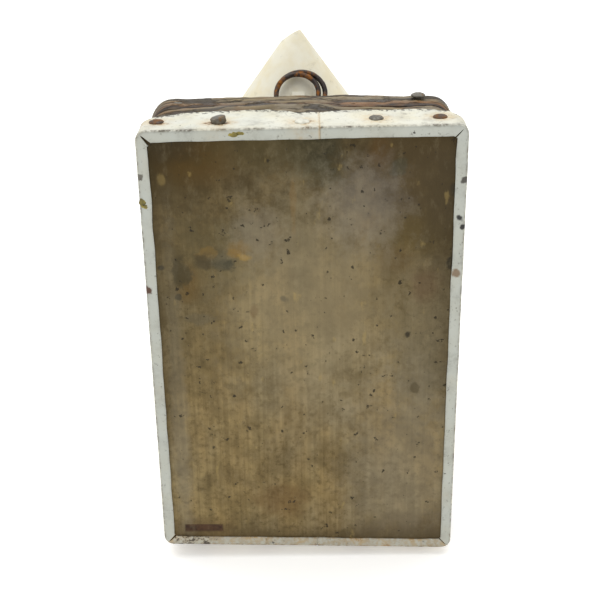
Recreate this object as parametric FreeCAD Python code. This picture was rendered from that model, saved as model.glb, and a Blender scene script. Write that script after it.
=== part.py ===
import FreeCAD
import Part
import math
import os

# A hand bee smoker: a sheet-iron fire pot with a hinged conical lid, blown by a leather bellows
# between two boards. The pot's axis is the Z axis and its flat bottom is z = 0; the bellows lie
# on the -Y side and the lid's hinge on the +Y side. All lengths are in millimetres.

V = FreeCAD.Vector

# Fire pot and lid
sheet = 0.8                      # sheet iron of the pot, the lid and their tubes
pot_radius = 47.5
pot_height = 163.5
base_hoop_height = 9.0
rim_hem = 3.5                    # height of the folded hem inside the pot's rim
seam_width = 6.0
lid_play = 0.9                   # radial play between the pot and the lid's collar
lid_collar_bottom = 153.5
lid_apex_height = 232.4          # where the cone would come to a point
cone_half_angle = 35.6           # degrees, between the cone's axis and its side
spout_left_height = 222.5        # the spout is cut on a slant: height at its left edge
spout_slope_x = 0.6              # rise of the cut to the right
spout_slope_y = -0.45            # fall of the cut to the front
collar_bead = 0.8

# Grate
grate_radius = 44.5
grate_height = 42.0
grate_thickness = 1.2
grate_hole_radius = 3.2
grate_hole_rings = ((0.0, 1), (13.0, 6), (26.0, 12), (37.5, 16))
grate_leg_radius = 31.0
grate_foot_length = 8.0
grate_leg_width = 9.0
grate_leg_play = 0.15            # gap under the legs

# Air path, from the bellows into the pot
air_height = 26.0
inlet_radius = 10.0
inlet_mouth_y = -55.0
nozzle_radius = 8.0
nozzle_mouth_y = -58.0
nozzle_flange_radius = 13.0

# Bellows boards
board_shift = 3.0                # the boards' middle lies this far right of the pot's axis
board_width = 135.0
board_front_y = -110.0
board_thickness = 16.0
board_top_left = 211.1
board_top_right = 212.1
board_bottom_left = 8.5          # the board was not sawn quite square
board_bottom_right = 4.5
fixed_front_y = -74.0
fixed_thickness = 12.0
fixed_width = 125.8
fixed_top = 208.9
fixed_bottom = 1.6
fixed_corner = 6.4

# Tinplate edging of the front board
tin = 0.5
edging_face = 4.6                # width of the strip that lies on the board's face
edging_depth = 21.0              # how far the strip runs back along the board's edges
edging_wave = 3.2                # how far its hand-cut back edge strays from that
edging_seam_x = 7.0
edging_gap = 0.15                # half the gap at the seams
edging_clear_height = 16.0       # below this the strip stops short of the leather's fold
edging_inset = 1.0

# Leather
leather = 1.6
bellows_wall = 5.0               # the folded bellows are several layers thick
leather_gap = 0.3                # gap between the folds and the boards
bellows_low_front = 6.5          # height of the lowest fold at the front board and at the fixed one
bellows_low_back = 1.0

# Tacks
tack_head_radius = 3.2
tack_head_height = 1.0
tack_shank_radius = 0.9
tack_length = 10.0
tack_row_y = board_front_y + 9.5
top_tacks_at = ((-60.1, 11.5), (0.2, 7.5), (30.8, 10.5), (57.2, 10.5))   # from the middle, from the face
proud_tack_at = (-34.0, 9.0)
proud_tack_lift = 2.2
proud_tack_tilt = 16.0
left_tacks_z = (197.0, 92.0, 33.0, 15.0)
right_tacks_z = (95.0, 33.0, 12.0)
bottom_tacks_x = (-52.0, -20.0, 24.0, 52.0)
fixed_row_y = fixed_front_y + 7.0
fixed_top_tacks_x = (-54.0, -18.0, 18.0, 51.0)
fixed_side_tacks_z = (14.0, 52.0, 90.0, 128.0, 166.0, 197.0)

# Brackets between the fixed board and the pot
bracket_sheet = 1.2
bracket_height = 16.0
bracket_heights = {"bracket_upper": 128.0, "bracket_lower": 58.0}
bracket_half_width = 24.0
bracket_wrap = 22.0              # degrees of the pot's wall that each end of a bracket covers
screw_spread = 14.0
screw_radius = 1.6
screw_head_radius = 3.4
screw_length = 9.0
rivet_radius = 1.5
rivet_head_radius = 2.8
rivet_head_height = 1.2

# Lid hinge
hinge_y = 53.2
hinge_z = 150.6
knuckle_radius = 3.0
pin_radius = 1.5
pin_play = 0.05
knuckle_width = 6.0
knuckle_gap = 0.3
knuckle_count = 5
leaf_thickness = 1.0
leaf_bottom = 124.0
hinge_rivet_angle = 11.0

# Lifting ring on the lid
ring_radius = 10.6
ring_wire = 1.25
ring_turn_pitch = 2.3
ring_x = 2.6
tab_x = 1.4
tab_width = 6.5
tab_sheet = 0.8
tab_loop_radius = 2.9
tab_length = 13.0
ring_pivot_slant = 49.0          # distance of the ring's pivot from the cone's apex, down its side
ring_lean = 3.0                  # degrees that the ring leans in from parallel with the cone

cone_slope = math.tan(math.radians(cone_half_angle))
collar_inner = pot_radius + lid_play
collar_outer = collar_inner + sheet
cone_base_height = lid_apex_height - collar_outer / cone_slope
fixed_back_y = fixed_front_y + fixed_thickness
board_back_y = board_front_y + board_thickness
hinge_half_width = (knuckle_count * knuckle_width) / 2


def box(x0, x1, y0, y1, z0, z1):
    return Part.makeBox(x1 - x0, y1 - y0, z1 - z0, V(x0, y0, z0))


def rod(radius, start, end):
    direction = end - start
    return Part.makeCylinder(radius, direction.Length, start, direction)


def tube(outer, inner, start, end):
    return rod(outer, start, end).cut(rod(inner, start, end))


def fuse(solids):
    result = solids[0]
    for solid in solids[1:]:
        result = result.fuse(solid)
    return result.removeSplitter()


def prism(points, direction):
    wire = Part.makePolygon(list(points) + [points[0]])
    return Part.Face(wire).extrude(direction)


def turned(solid, point, axis, degrees):
    copy = solid.copy()
    copy.rotate(point, axis, degrees)
    return copy


def sector(outer, inner, middle, half_angle, z0, z1):
    """Curved plate on the pot's wall; middle is its direction in degrees, counted from +X."""
    ring = Part.makeCylinder(outer, z1 - z0, V(0, 0, z0), V(0, 0, 1), 2 * half_angle)
    hole = Part.makeCylinder(inner, z1 - z0, V(0, 0, z0), V(0, 0, 1), 2 * half_angle)
    return turned(ring.cut(hole), V(), V(0, 0, 1), middle - half_angle)


def domed_head(radius, height, base, direction):
    """A low dome: the top of a sphere standing on a circle of the given radius."""
    ball_radius = (radius ** 2 + height ** 2) / (2 * height)
    centre = base - direction * (ball_radius - height)
    ball = Part.makeSphere(ball_radius, centre)
    return ball.common(rod(radius + 1, base, base + direction * (height + 1)))


def tack(base, direction):
    """A flat-headed tack whose head stands on base and whose point goes against direction."""
    head = rod(tack_head_radius, base, base + direction * tack_head_height)
    rim = head.Edges
    head = head.makeChamfer(tack_head_height * 0.35, [e for e in rim if far_edge(e, base, direction)])
    neck = base - direction * (tack_length - 3)
    shank = rod(tack_shank_radius, neck, base)
    point = Part.makeCone(tack_shank_radius, 0.15, 3, neck, direction * -1)
    return fuse([head, shank, point])


def far_edge(edge, base, direction):
    centre = edge.BoundBox.Center
    return edge.Closed and (centre - base).dot(direction) > tack_head_height / 2


def rivet(radius_in, radius_out, angle, height):
    """A rivet through the pot's wall, pointing out from the axis; its tail is closed inside."""
    out = V(math.cos(math.radians(angle)), math.sin(math.radians(angle)), 0)
    inner = out * radius_in + V(0, 0, height)
    outer = out * radius_out + V(0, 0, height)
    shank = rod(rivet_radius, inner - out * 0.2, outer + out * 0.2)
    head = domed_head(rivet_head_radius, rivet_head_height, outer, out)
    tail = domed_head(rivet_head_radius * 0.8, rivet_head_height * 0.6, inner, out * -1)
    return fuse([shank, head, tail])


def board_x(offset):
    return board_shift + offset


def board_top(x):
    share = (x - board_x(-board_width / 2)) / board_width
    return board_top_left + share * (board_top_right - board_top_left)


def board_bottom(x):
    share = (x - board_x(-board_width / 2)) / board_width
    return board_bottom_left + share * (board_bottom_right - board_bottom_left)


def board_prism(grow, y0, y1):
    """The front board's outline, grown outwards by a margin and extruded from y0 to y1."""
    left = board_x(-board_width / 2)
    right = board_x(board_width / 2)
    corners = (
        V(left - grow, y0, board_bottom(left) - grow),
        V(right + grow, y0, board_bottom(right) - grow),
        V(right + grow, y0, board_top(right) + grow),
        V(left - grow, y0, board_top(left) + grow),
    )
    return prism(corners, V(0, y1 - y0, 0))


def rounded_plate(width, z0, z1, corner, y0, y1):
    plate = box(board_x(-width / 2), board_x(width / 2), y0, y1, z0, z1)
    edges = [e for e in plate.Edges if abs(e.tangentAt(e.FirstParameter).y) > 0.99]
    return plate.makeFillet(corner, edges)


# Fire pot -------------------------------------------------------------------------------------


def air_bore(radius):
    return rod(radius, V(0, fixed_front_y - 5, air_height), V(0, -30, air_height))


def pot_wall():
    wall = tube(pot_radius, pot_radius - sheet, V(0, 0, sheet), V(0, 0, pot_height))
    hem = tube(pot_radius - sheet, pot_radius - 2 * sheet, V(0, 0, pot_height - rim_hem), V(0, 0, pot_height))
    seam_half = math.degrees(seam_width / 2 / pot_radius)
    seam_top = lid_collar_bottom - 3
    seam = sector(pot_radius + sheet, pot_radius - sheet / 2, 0, seam_half, base_hoop_height + 1, seam_top)
    return fuse([wall, hem, seam]).cut(air_bore(inlet_radius))


def pot_base():
    return rod(pot_radius, V(), V(0, 0, sheet))


def base_hoop():
    """The hoop crimped round the bottom disc and the wall's lower edge."""
    hoop = tube(pot_radius + sheet, pot_radius, V(), V(0, 0, base_hoop_height))
    lip = tube(pot_radius + 2 * sheet, pot_radius, V(), V(0, 0, 2 * sheet))
    return fuse([hoop, lip])


def air_inlet():
    pipe = tube(inlet_radius, inlet_radius - sheet, V(0, inlet_mouth_y, air_height), V(0, -40, air_height))
    lip = tube(inlet_radius + sheet, inlet_radius - sheet / 2,
               V(0, inlet_mouth_y, air_height), V(0, inlet_mouth_y + 2, air_height))
    return fuse([pipe, lip]).cut(rod(pot_radius - sheet, V(), V(0, 0, pot_height)))


def grate_plate():
    disc = rod(grate_radius, V(0, 0, grate_height), V(0, 0, grate_height + grate_thickness))
    for ring, count in grate_hole_rings:
        for i in range(count):
            angle = 2 * math.pi * (i + 0.5) / count
            centre = V(ring * math.cos(angle), ring * math.sin(angle), grate_height - 1)
            disc = disc.cut(rod(grate_hole_radius, centre, centre + V(0, 0, 4)))
    return disc


def grate_legs():
    """Three bent strips that stand on the pot's bottom and carry the plate."""
    outside = grate_leg_radius + grate_thickness
    half = grate_leg_width / 2
    foot_height = sheet + grate_leg_play
    legs = []
    for i in range(3):
        leg = box(grate_leg_radius, outside, -half, half, foot_height, grate_height)
        foot = box(outside - grate_foot_length, outside, -half, half, foot_height, foot_height + grate_thickness)
        tab = box(outside - grate_foot_length, outside, -half, half, grate_height - grate_thickness, grate_height)
        legs.append(turned(fuse([leg, foot, tab]), V(), V(0, 0, 1), 90 + 120 * i))
    return Part.makeCompound(legs)


# Brackets and their fasteners -------------------------------------------------------------------


def bracket(height):
    z0 = height - bracket_height / 2
    z1 = height + bracket_height / 2
    half = bracket_half_width
    plate = box(-half, half, fixed_back_y, fixed_back_y + bracket_sheet, z0, z1)
    solids = [plate]
    for side in (-1, 1):
        arm_x = sorted((side * half, side * (half - bracket_sheet)))
        solids.append(box(arm_x[0], arm_x[1], fixed_back_y, -30, z0, z1))
        start = math.degrees(math.asin((half - bracket_sheet) / (pot_radius + bracket_sheet)))
        middle = -90 + side * (start + bracket_wrap / 2)
        solids.append(sector(pot_radius + bracket_sheet, pot_radius - 1, middle, bracket_wrap / 2, z0, z1))
    return fuse(solids).cut(rod(pot_radius, V(), V(0, 0, pot_height)))


def bracket_screws():
    screws = []
    for height in bracket_heights.values():
        for side in (-1, 1):
            base = V(side * screw_spread, fixed_back_y + bracket_sheet, height)
            head = domed_head(screw_head_radius, 1.9, base, V(0, 1, 0))
            slot = box(base.x - screw_head_radius, base.x + screw_head_radius,
                       base.y + 1.1, base.y + 3, base.z - 0.4, base.z + 0.4)
            shank = rod(screw_radius, base + V(0, 0.2, 0), base - V(0, screw_length, 0))
            screws.append(fuse([head.cut(slot), shank]))
    return Part.makeCompound(screws)


def bracket_rivets():
    rivets = []
    start = math.degrees(math.asin((bracket_half_width - bracket_sheet) / (pot_radius + bracket_sheet)))
    for height in bracket_heights.values():
        for side in (-1, 1):
            angle = -90 + side * (start + bracket_wrap * 0.62)
            rivets.append(rivet(pot_radius - sheet, pot_radius + bracket_sheet, angle, height))
    return Part.makeCompound(rivets)


# Lid --------------------------------------------------------------------------------------------


def spout_cutter():
    """Everything above the slanted plane of the spout's mouth."""
    left_x = -(lid_apex_height - spout_left_height) * cone_slope
    reach = 30
    corners = []
    for dx, dy in ((-reach, -reach), (reach, -reach), (reach, reach), (-reach, reach)):
        rise = spout_slope_x * (dx - left_x) + spout_slope_y * dy
        corners.append(V(dx, dy, spout_left_height + rise))
    return prism(corners, V(0, 0, 80))


def lid_cone():
    base = V(0, 0, cone_base_height)
    outer = Part.makeCone(collar_outer, 0, lid_apex_height - cone_base_height, base)
    wall = sheet / math.cos(math.radians(cone_half_angle))
    inner_radius = collar_outer - wall
    inner = Part.makeCone(inner_radius, 0, inner_radius / cone_slope, base)
    return outer.cut(inner).cut(spout_cutter())


def lid_collar():
    collar = tube(collar_outer, collar_inner, V(0, 0, lid_collar_bottom), V(0, 0, cone_base_height))
    bead = tube(collar_outer + collar_bead, collar_outer - sheet / 2,
                V(0, 0, lid_collar_bottom), V(0, 0, lid_collar_bottom + 2 * collar_bead))
    bead = bead.makeFillet(collar_bead * 0.6, outer_edges(bead, collar_outer + collar_bead))
    return fuse([collar, bead])


def outer_edges(solid, radius):
    return [e for e in solid.Edges if e.Closed and abs(e.BoundBox.XMax - radius) < 0.01]


def cone_frame(slant, x):
    """Point on the cone's -Y side at a slant distance from the apex, and its two directions."""
    half = math.radians(cone_half_angle)
    up = V(0, math.sin(half), math.cos(half))
    out = V(0, -math.cos(half), math.sin(half))
    point = V(x, 0, lid_apex_height) - up * slant
    return point, up, out


def ring_tab():
    loop_outer = tab_loop_radius + tab_sheet
    point, up, out = cone_frame(ring_pivot_slant, tab_x - tab_width / 2)
    across = V(tab_width, 0, 0)
    centre = point + out * (loop_outer + 0.02)
    loop = tube(loop_outer, tab_loop_radius, centre, centre + across)
    foot = point + out * 0.02
    strap = prism((foot, foot + up * tab_length, foot + up * tab_length + out * tab_sheet, foot + out * tab_sheet),
                  across)
    strap = strap.cut(rod(tab_loop_radius, centre, centre + across))
    return fuse([loop, strap])


def ring_tab_rivet():
    point, up, out = cone_frame(ring_pivot_slant - tab_length * 0.66, tab_x)
    inner = point - out * (sheet + 0.1)
    outer = point + out * (tab_sheet + 0.02)
    shank = rod(1.1, inner - out * 0.1, outer + out * 0.1)
    head = domed_head(2.1, 0.9, outer, out)
    tail = domed_head(1.9, 0.6, inner, out * -1)
    return fuse([shank, head, tail])


def lift_ring():
    loop_outer = tab_loop_radius + tab_sheet
    point, up, out = cone_frame(ring_pivot_slant, ring_x)
    pivot = point + out * (loop_outer + 0.02)
    turns = []
    for side in (-0.5, 0.5):
        centre = pivot + up * (ring_radius - 0.35) + out * (side * ring_turn_pitch)
        turns.append(Part.makeTorus(ring_radius, ring_wire, centre, out))
    return turned(fuse(turns), pivot, V(1, 0, 0), -ring_lean)


# Lid hinge --------------------------------------------------------------------------------------


def knuckles(first):
    """Every second knuckle, from the first given one, with the pin's bore left solid."""
    solids = []
    for i in range(first, knuckle_count, 2):
        x0 = -hinge_half_width + i * knuckle_width + knuckle_gap / 2
        x1 = x0 + knuckle_width - knuckle_gap
        solids.append((x0, x1, rod(knuckle_radius, V(x0, hinge_y, hinge_z), V(x1, hinge_y, hinge_z))))
    return solids


def pin_bore():
    reach = hinge_half_width + 5
    return rod(pin_radius + pin_play, V(-reach, hinge_y, hinge_z), V(reach, hinge_y, hinge_z))


def leaf(plate, web_outline, first):
    solids = [plate]
    for x0, x1, knuckle in knuckles(first):
        web = prism([V(x0, y, z) for y, z in web_outline], V(x1 - x0, 0, 0))
        solids.append(web.fuse(knuckle))
    return fuse(solids).cut(pin_bore())


def hinge_leaf_pot():
    half_angle = math.degrees(math.asin(hinge_half_width / pot_radius))
    leaf_top = 145.0
    plate = sector(pot_radius + leaf_thickness, pot_radius, 90, half_angle, leaf_bottom, leaf_top)
    web = (
        (pot_radius - 3, leaf_top - 3.5),
        (pot_radius + leaf_thickness, leaf_top - 4.5),
        (hinge_y + knuckle_radius * 0.75, hinge_z - knuckle_radius * 0.66),
        (hinge_y - knuckle_radius * 0.4, hinge_z - knuckle_radius * 0.2),
    )
    shape = leaf(plate, web, 0)
    return shape.cut(rod(pot_radius, V(), V(0, 0, lid_apex_height)))


def hinge_leaf_lid():
    half_angle = math.degrees(math.asin(hinge_half_width / collar_outer))
    plate_bottom = lid_collar_bottom + 2 * collar_bead + 0.1
    plate = sector(collar_outer + leaf_thickness, collar_outer, 90, half_angle, plate_bottom, cone_base_height)
    web = (
        (collar_outer - 3, plate_bottom + 2.2),
        (collar_outer + leaf_thickness, plate_bottom + 3.0),
        (hinge_y + knuckle_radius * 0.6, hinge_z + knuckle_radius * 0.78),
        (hinge_y - knuckle_radius * 0.3, hinge_z + knuckle_radius * 0.3),
    )
    shape = leaf(plate, web, 1)
    bead_reach = collar_outer + collar_bead + 0.1
    shape = shape.cut(rod(bead_reach, V(0, 0, 0), V(0, 0, plate_bottom)))
    return shape.cut(rod(collar_outer, V(), V(0, 0, lid_apex_height)))


def hinge_pin():
    reach = hinge_half_width + 0.6
    pin = rod(pin_radius, V(-reach, hinge_y, hinge_z), V(reach, hinge_y, hinge_z))
    heads = [domed_head(2.3, 1.1, V(s * reach, hinge_y, hinge_z), V(s, 0, 0)) for s in (-1, 1)]
    return fuse([pin] + heads)


def hinge_rivets_pot():
    rivets = []
    for side in (-1, 1):
        rivets.append(rivet(pot_radius - sheet, pot_radius + leaf_thickness, 90 + side * hinge_rivet_angle, 130.5))
    return Part.makeCompound(rivets)


def hinge_rivets_lid():
    height = (lid_collar_bottom + cone_base_height) / 2 + 1.6
    rivets = []
    for side in (-1, 1):
        angle = math.radians(90 + side * hinge_rivet_angle)
        out = V(math.cos(angle), math.sin(angle), 0)
        inner = out * (collar_inner + 0.25) + V(0, 0, height)
        outer = out * (collar_outer + leaf_thickness) + V(0, 0, height)
        shank = rod(rivet_radius, inner, outer + out * 0.2)
        rivets.append(fuse([shank, domed_head(rivet_head_radius * 0.85, rivet_head_height, outer, out)]))
    return Part.makeCompound(rivets)


# Bellows ----------------------------------------------------------------------------------------


def front_board():
    return board_prism(0, board_front_y, board_back_y)


def edging():
    """The whole tinplate frame: a flange on the board's face and a wavy skirt round its edges."""
    front = board_front_y - tin
    back = board_front_y + edging_depth
    skirt = board_prism(tin, front, back + edging_wave).cut(board_prism(0, front - 1, back + edging_wave + 1))
    flange = board_prism(tin, front, board_front_y).cut(board_prism(-edging_face, front - 1, board_front_y + 1))
    frame = fuse([skirt, flange])
    low = board_x(-board_width / 2 - 5)
    count = 13
    points = []
    for i in range(count):
        x = low + i * (board_width + 10) / (count - 1)
        wave = math.sin(i * 1.9) + 0.6 * math.sin(i * 0.8 + 1.0)
        points.append(V(x, back + edging_wave * wave / 1.6, 0))
    curve = Part.BSplineCurve()
    curve.interpolate(points)
    far = back + 40
    outline = Part.Wire([
        curve.toShape(),
        Part.makeLine(points[-1], V(points[-1].x, far, 0)),
        Part.makeLine(V(points[-1].x, far, 0), V(low, far, 0)),
        Part.makeLine(V(low, far, 0), points[0]),
    ])
    cutter = Part.Face(outline).extrude(V(0, 0, 260))
    clear_of_fold = box(low, -low + 2 * board_shift, board_back_y - edging_inset, far, -10, edging_clear_height)
    return frame.cut(cutter).cut(clear_of_fold)


def edging_half(side):
    frame = edging()
    reach = 200
    seam = edging_seam_x
    if side < 0:
        half = box(seam - edging_gap - reach, seam - edging_gap, -reach, reach, -reach, 2 * reach)
    else:
        half = box(seam + edging_gap, seam + edging_gap + reach, -reach, reach, -reach, 2 * reach)
    return frame.common(half)


def top_seat(offset, depth):
    x = board_x(offset)
    return V(x, board_front_y + depth, board_top(x) + tin)


def top_tacks():
    tacks = [tack(top_seat(offset, depth), V(0, 0, 1)) for offset, depth in top_tacks_at]
    seat = top_seat(*proud_tack_at)
    proud = tack(seat + V(0, 0, proud_tack_lift), V(0, 0, 1))
    tacks.append(turned(proud, seat, V(0, 1, 0), -proud_tack_tilt))
    return Part.makeCompound(tacks)


def side_tacks():
    left = board_x(-board_width / 2) - tin
    right = board_x(board_width / 2) + tin
    tacks = [tack(V(left, tack_row_y, z), V(-1, 0, 0)) for z in left_tacks_z]
    tacks += [tack(V(right, tack_row_y, z), V(1, 0, 0)) for z in right_tacks_z]
    return Part.makeCompound(tacks)


def bottom_tacks():
    tacks = []
    for offset in bottom_tacks_x:
        x = board_x(offset)
        tacks.append(tack(V(x, tack_row_y, board_bottom(x) - tin), V(0, 0, -1)))
    return Part.makeCompound(tacks)


def leather_ring(wall, y0, y1):
    outer = rounded_plate(fixed_width + 2 * leather, fixed_bottom - leather, fixed_top + leather,
                          fixed_corner + leather, y0, y1)
    margin = leather - wall
    inner = rounded_plate(fixed_width + 2 * margin, fixed_bottom - margin, fixed_top + margin,
                          max(fixed_corner + margin, 1.5), y0 - 1, y1 + 1)
    return outer.cut(inner)


def fold_outline(wall, y, share):
    """Rounded outline of the folded leather; share runs from 0 at the front board to 1 at the fixed one."""
    low = bellows_low_front + share * (bellows_low_back - bellows_low_front)
    plate = rounded_plate(fixed_width + 2 * (leather - wall), low + wall, fixed_top + leather - wall,
                          fixed_corner + leather - wall * 0.8, y, y + 1)
    faces = [f for f in plate.Faces if abs(f.BoundBox.YMax - y) < 1e-6]
    return faces[0].OuterWire


def bellows_leather():
    y0 = board_back_y + leather_gap
    y1 = fixed_front_y - leather_gap
    outer = Part.makeLoft([fold_outline(0, y0, 0), fold_outline(0, y1, 1)], True, True)
    inner = Part.makeLoft([fold_outline(bellows_wall, y0, 0), fold_outline(bellows_wall, y1, 1)], True, True)
    return outer.cut(inner)


def fixed_board_leather():
    return leather_ring(leather, fixed_front_y, fixed_back_y - 0.4)


def fixed_board():
    board = rounded_plate(fixed_width, fixed_bottom, fixed_top, fixed_corner, fixed_front_y, fixed_back_y)
    return board.cut(air_bore(nozzle_radius))


def fixed_board_tacks():
    tacks = []
    for offset in fixed_top_tacks_x:
        tacks.append(tack(V(board_x(offset), fixed_row_y, fixed_top + leather), V(0, 0, 1)))
    reach = fixed_width / 2 + leather
    for side in (-1, 1):
        for z in fixed_side_tacks_z:
            tacks.append(tack(V(board_x(side * reach), fixed_row_y, z), V(side, 0, 0)))
    return Part.makeCompound(tacks)


def bellows_nozzle():
    pipe = tube(nozzle_radius, nozzle_radius - sheet, V(0, fixed_front_y, air_height),
                V(0, nozzle_mouth_y, air_height))
    flange = tube(nozzle_flange_radius, nozzle_radius - sheet / 2, V(0, fixed_back_y, air_height),
                  V(0, fixed_back_y + sheet, air_height))
    return fuse([pipe, flange])


nodes = {
    "pot_wall": pot_wall,
    "pot_base": pot_base,
    "base_hoop": base_hoop,
    "air_inlet": air_inlet,
    "grate_plate": grate_plate,
    "grate_legs": grate_legs,
    "bracket_screws": bracket_screws,
    "bracket_rivets": bracket_rivets,
    "lid_cone": lid_cone,
    "lid_collar": lid_collar,
    "ring_tab": ring_tab,
    "ring_tab_rivet": ring_tab_rivet,
    "lift_ring": lift_ring,
    "hinge_leaf_pot": hinge_leaf_pot,
    "hinge_leaf_lid": hinge_leaf_lid,
    "hinge_pin": hinge_pin,
    "hinge_rivets_pot": hinge_rivets_pot,
    "hinge_rivets_lid": hinge_rivets_lid,
    "front_board": front_board,
    "edging_left": lambda: edging_half(-1),
    "edging_right": lambda: edging_half(1),
    "top_tacks": top_tacks,
    "side_tacks": side_tacks,
    "bottom_tacks": bottom_tacks,
    "bellows_leather": bellows_leather,
    "fixed_board": fixed_board,
    "fixed_board_leather": fixed_board_leather,
    "fixed_board_tacks": fixed_board_tacks,
    "bellows_nozzle": bellows_nozzle,
}
for bracket_name, bracket_middle in bracket_heights.items():
    nodes[bracket_name] = lambda middle=bracket_middle: bracket(middle)


def main():
    os.makedirs("parts", exist_ok=True)
    shapes = {}
    for name, make in nodes.items():
        shape = make()
        shapes[name] = shape
        solids = shape.Solids
        print(name, len(solids), "solid(s)", round(shape.Volume), "mm3", "valid" if shape.isValid() else "INVALID")
        shape.exportStep("parts/" + name + ".step")
    return shapes


if __name__ == "__main__":
    main()
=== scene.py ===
import math
import random

import bmesh
import bpy
from mathutils import Matrix, Vector, noise


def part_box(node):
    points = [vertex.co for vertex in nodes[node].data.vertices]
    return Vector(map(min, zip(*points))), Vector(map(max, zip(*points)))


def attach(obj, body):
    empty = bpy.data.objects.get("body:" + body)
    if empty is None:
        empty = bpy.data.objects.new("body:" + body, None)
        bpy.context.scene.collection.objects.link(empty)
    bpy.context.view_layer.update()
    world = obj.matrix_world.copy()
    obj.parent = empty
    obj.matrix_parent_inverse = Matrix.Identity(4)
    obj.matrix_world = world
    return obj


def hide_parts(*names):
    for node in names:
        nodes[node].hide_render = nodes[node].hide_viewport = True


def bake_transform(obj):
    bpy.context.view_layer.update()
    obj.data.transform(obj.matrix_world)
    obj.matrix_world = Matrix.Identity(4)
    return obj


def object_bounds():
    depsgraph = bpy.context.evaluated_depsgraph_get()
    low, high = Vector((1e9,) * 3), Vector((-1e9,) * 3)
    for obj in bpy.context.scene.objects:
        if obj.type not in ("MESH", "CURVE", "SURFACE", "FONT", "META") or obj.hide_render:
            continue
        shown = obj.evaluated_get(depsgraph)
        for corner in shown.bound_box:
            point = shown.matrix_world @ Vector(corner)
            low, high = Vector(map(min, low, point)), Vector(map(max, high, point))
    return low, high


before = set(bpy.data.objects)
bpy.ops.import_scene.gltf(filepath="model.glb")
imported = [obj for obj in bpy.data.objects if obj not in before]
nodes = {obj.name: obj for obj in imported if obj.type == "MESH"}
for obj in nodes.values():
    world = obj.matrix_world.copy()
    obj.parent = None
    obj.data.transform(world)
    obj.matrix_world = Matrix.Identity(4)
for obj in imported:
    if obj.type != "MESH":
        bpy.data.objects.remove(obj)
cadLow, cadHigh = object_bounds()
print("frame loaded")


def mm(length):
    return length / 1000


def pickOnly(*pieces):
    bpy.ops.object.select_all(action="DESELECT")
    for piece in pieces:
        piece.select_set(True)
    bpy.context.view_layer.objects.active = pieces[0]


def startPiece(name, primitive, **settings):
    bpy.ops.object.select_all(action="DESELECT")
    primitive(**settings)
    piece = bpy.context.active_object
    piece.name = name
    piece.data.name = name
    bpy.ops.object.transform_apply(location=True, rotation=True, scale=True)
    return piece


def pickFaces(piece, test):
    mesh = bmesh.from_edit_mesh(piece.data)
    for face in mesh.faces:
        face.select_set(False)
    for face in mesh.faces:
        if test(face):
            face.select_set(True)
    bmesh.update_edit_mesh(piece.data)


def addModifier(piece, kind, **settings):
    modifier = piece.modifiers.new(kind.title(), kind)
    for setting, value in settings.items():
        setattr(modifier, setting, value)
    return modifier


def putInScene(made):
    bpy.context.scene.collection.objects.link(made)


def applyModifiers(piece):
    pickOnly(piece)
    for modifier in list(piece.modifiers):
        bpy.ops.object.modifier_apply(modifier=modifier.name)


def smoothByAngle(piece, degrees=35):
    pickOnly(piece)
    bpy.ops.object.shade_smooth_by_angle(angle=math.radians(degrees))


def editAll(piece, operator, **settings):
    # one edit-mode operator on the whole of a piece
    pickOnly(piece)
    bpy.ops.object.mode_set(mode="EDIT")
    bpy.ops.mesh.select_all(action="SELECT")
    operator(**settings)
    bpy.ops.object.mode_set(mode="OBJECT")


def faceOutward(piece):
    editAll(piece, bpy.ops.mesh.remove_doubles, threshold=mm(0.005))
    editAll(piece, bpy.ops.mesh.normals_make_consistent, inside=False)


def ownCopy(source, name):
    piece = source.copy()
    piece.data = source.data.copy()
    piece.name = name
    piece.data.name = name
    putInScene(piece)
    return piece


def softCopy(node, name, bevel):
    # a copy of a CAD node with its sharp edges eased
    piece = ownCopy(nodes[node], name)
    piece.parent = None
    piece.hide_render = False
    piece.hide_viewport = False
    editAll(piece, bpy.ops.mesh.remove_doubles, threshold=mm(0.002))
    editAll(piece, bpy.ops.mesh.dissolve_limited, angle_limit=math.radians(2))
    addModifier(piece, "BEVEL", width=bevel, segments=2, angle_limit=math.radians(40), use_clamp_overlap=True)
    addModifier(piece, "TRIANGULATE")
    applyModifiers(piece)
    smoothByAngle(piece, 35)
    return piece


def looseParts(node):
    # the lowest and highest corner of each separate solid in a CAD node
    mesh = bmesh.new()
    mesh.from_mesh(nodes[node].data)
    bmesh.ops.remove_doubles(mesh, verts=mesh.verts, dist=mm(0.002))
    waiting = set(mesh.verts)
    found = []
    while waiting:
        group = [waiting.pop()]
        for vert in group:
            for edge in vert.link_edges:
                other = edge.other_vert(vert)
                if other in waiting:
                    waiting.remove(other)
                    group.append(other)
        spots = [vert.co.copy() for vert in group]
        low = Vector([min(spot[axis] for spot in spots) for axis in range(3)])
        high = Vector([max(spot[axis] for spot in spots) for axis in range(3)])
        found.append((low, high))
    mesh.free()
    return found


def wobble(point, size, seed=0.0):
    return noise.noise(point / size + Vector((seed, seed * 1.7, -seed)))


def rampAt(points, where):
    # straight runs between given points, eased a little
    if where <= points[0][0]:
        return points[0][1]
    for (startAt, startValue), (endAt, endValue) in zip(points, points[1:]):
        if where <= endAt:
            share = (where - startAt) / (endAt - startAt)
            share = share * share * (3 - 2 * share)
            return startValue + (endValue - startValue) * share
    return points[-1][1]


def fromHex(code):
    channels = [int(code[i:i + 2], 16) / 255 for i in (1, 3, 5)]
    linear = [c / 12.92 if c <= 0.04045 else ((c + 0.055) / 1.055) ** 2.4 for c in channels]
    return (*linear, 1.0)


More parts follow.
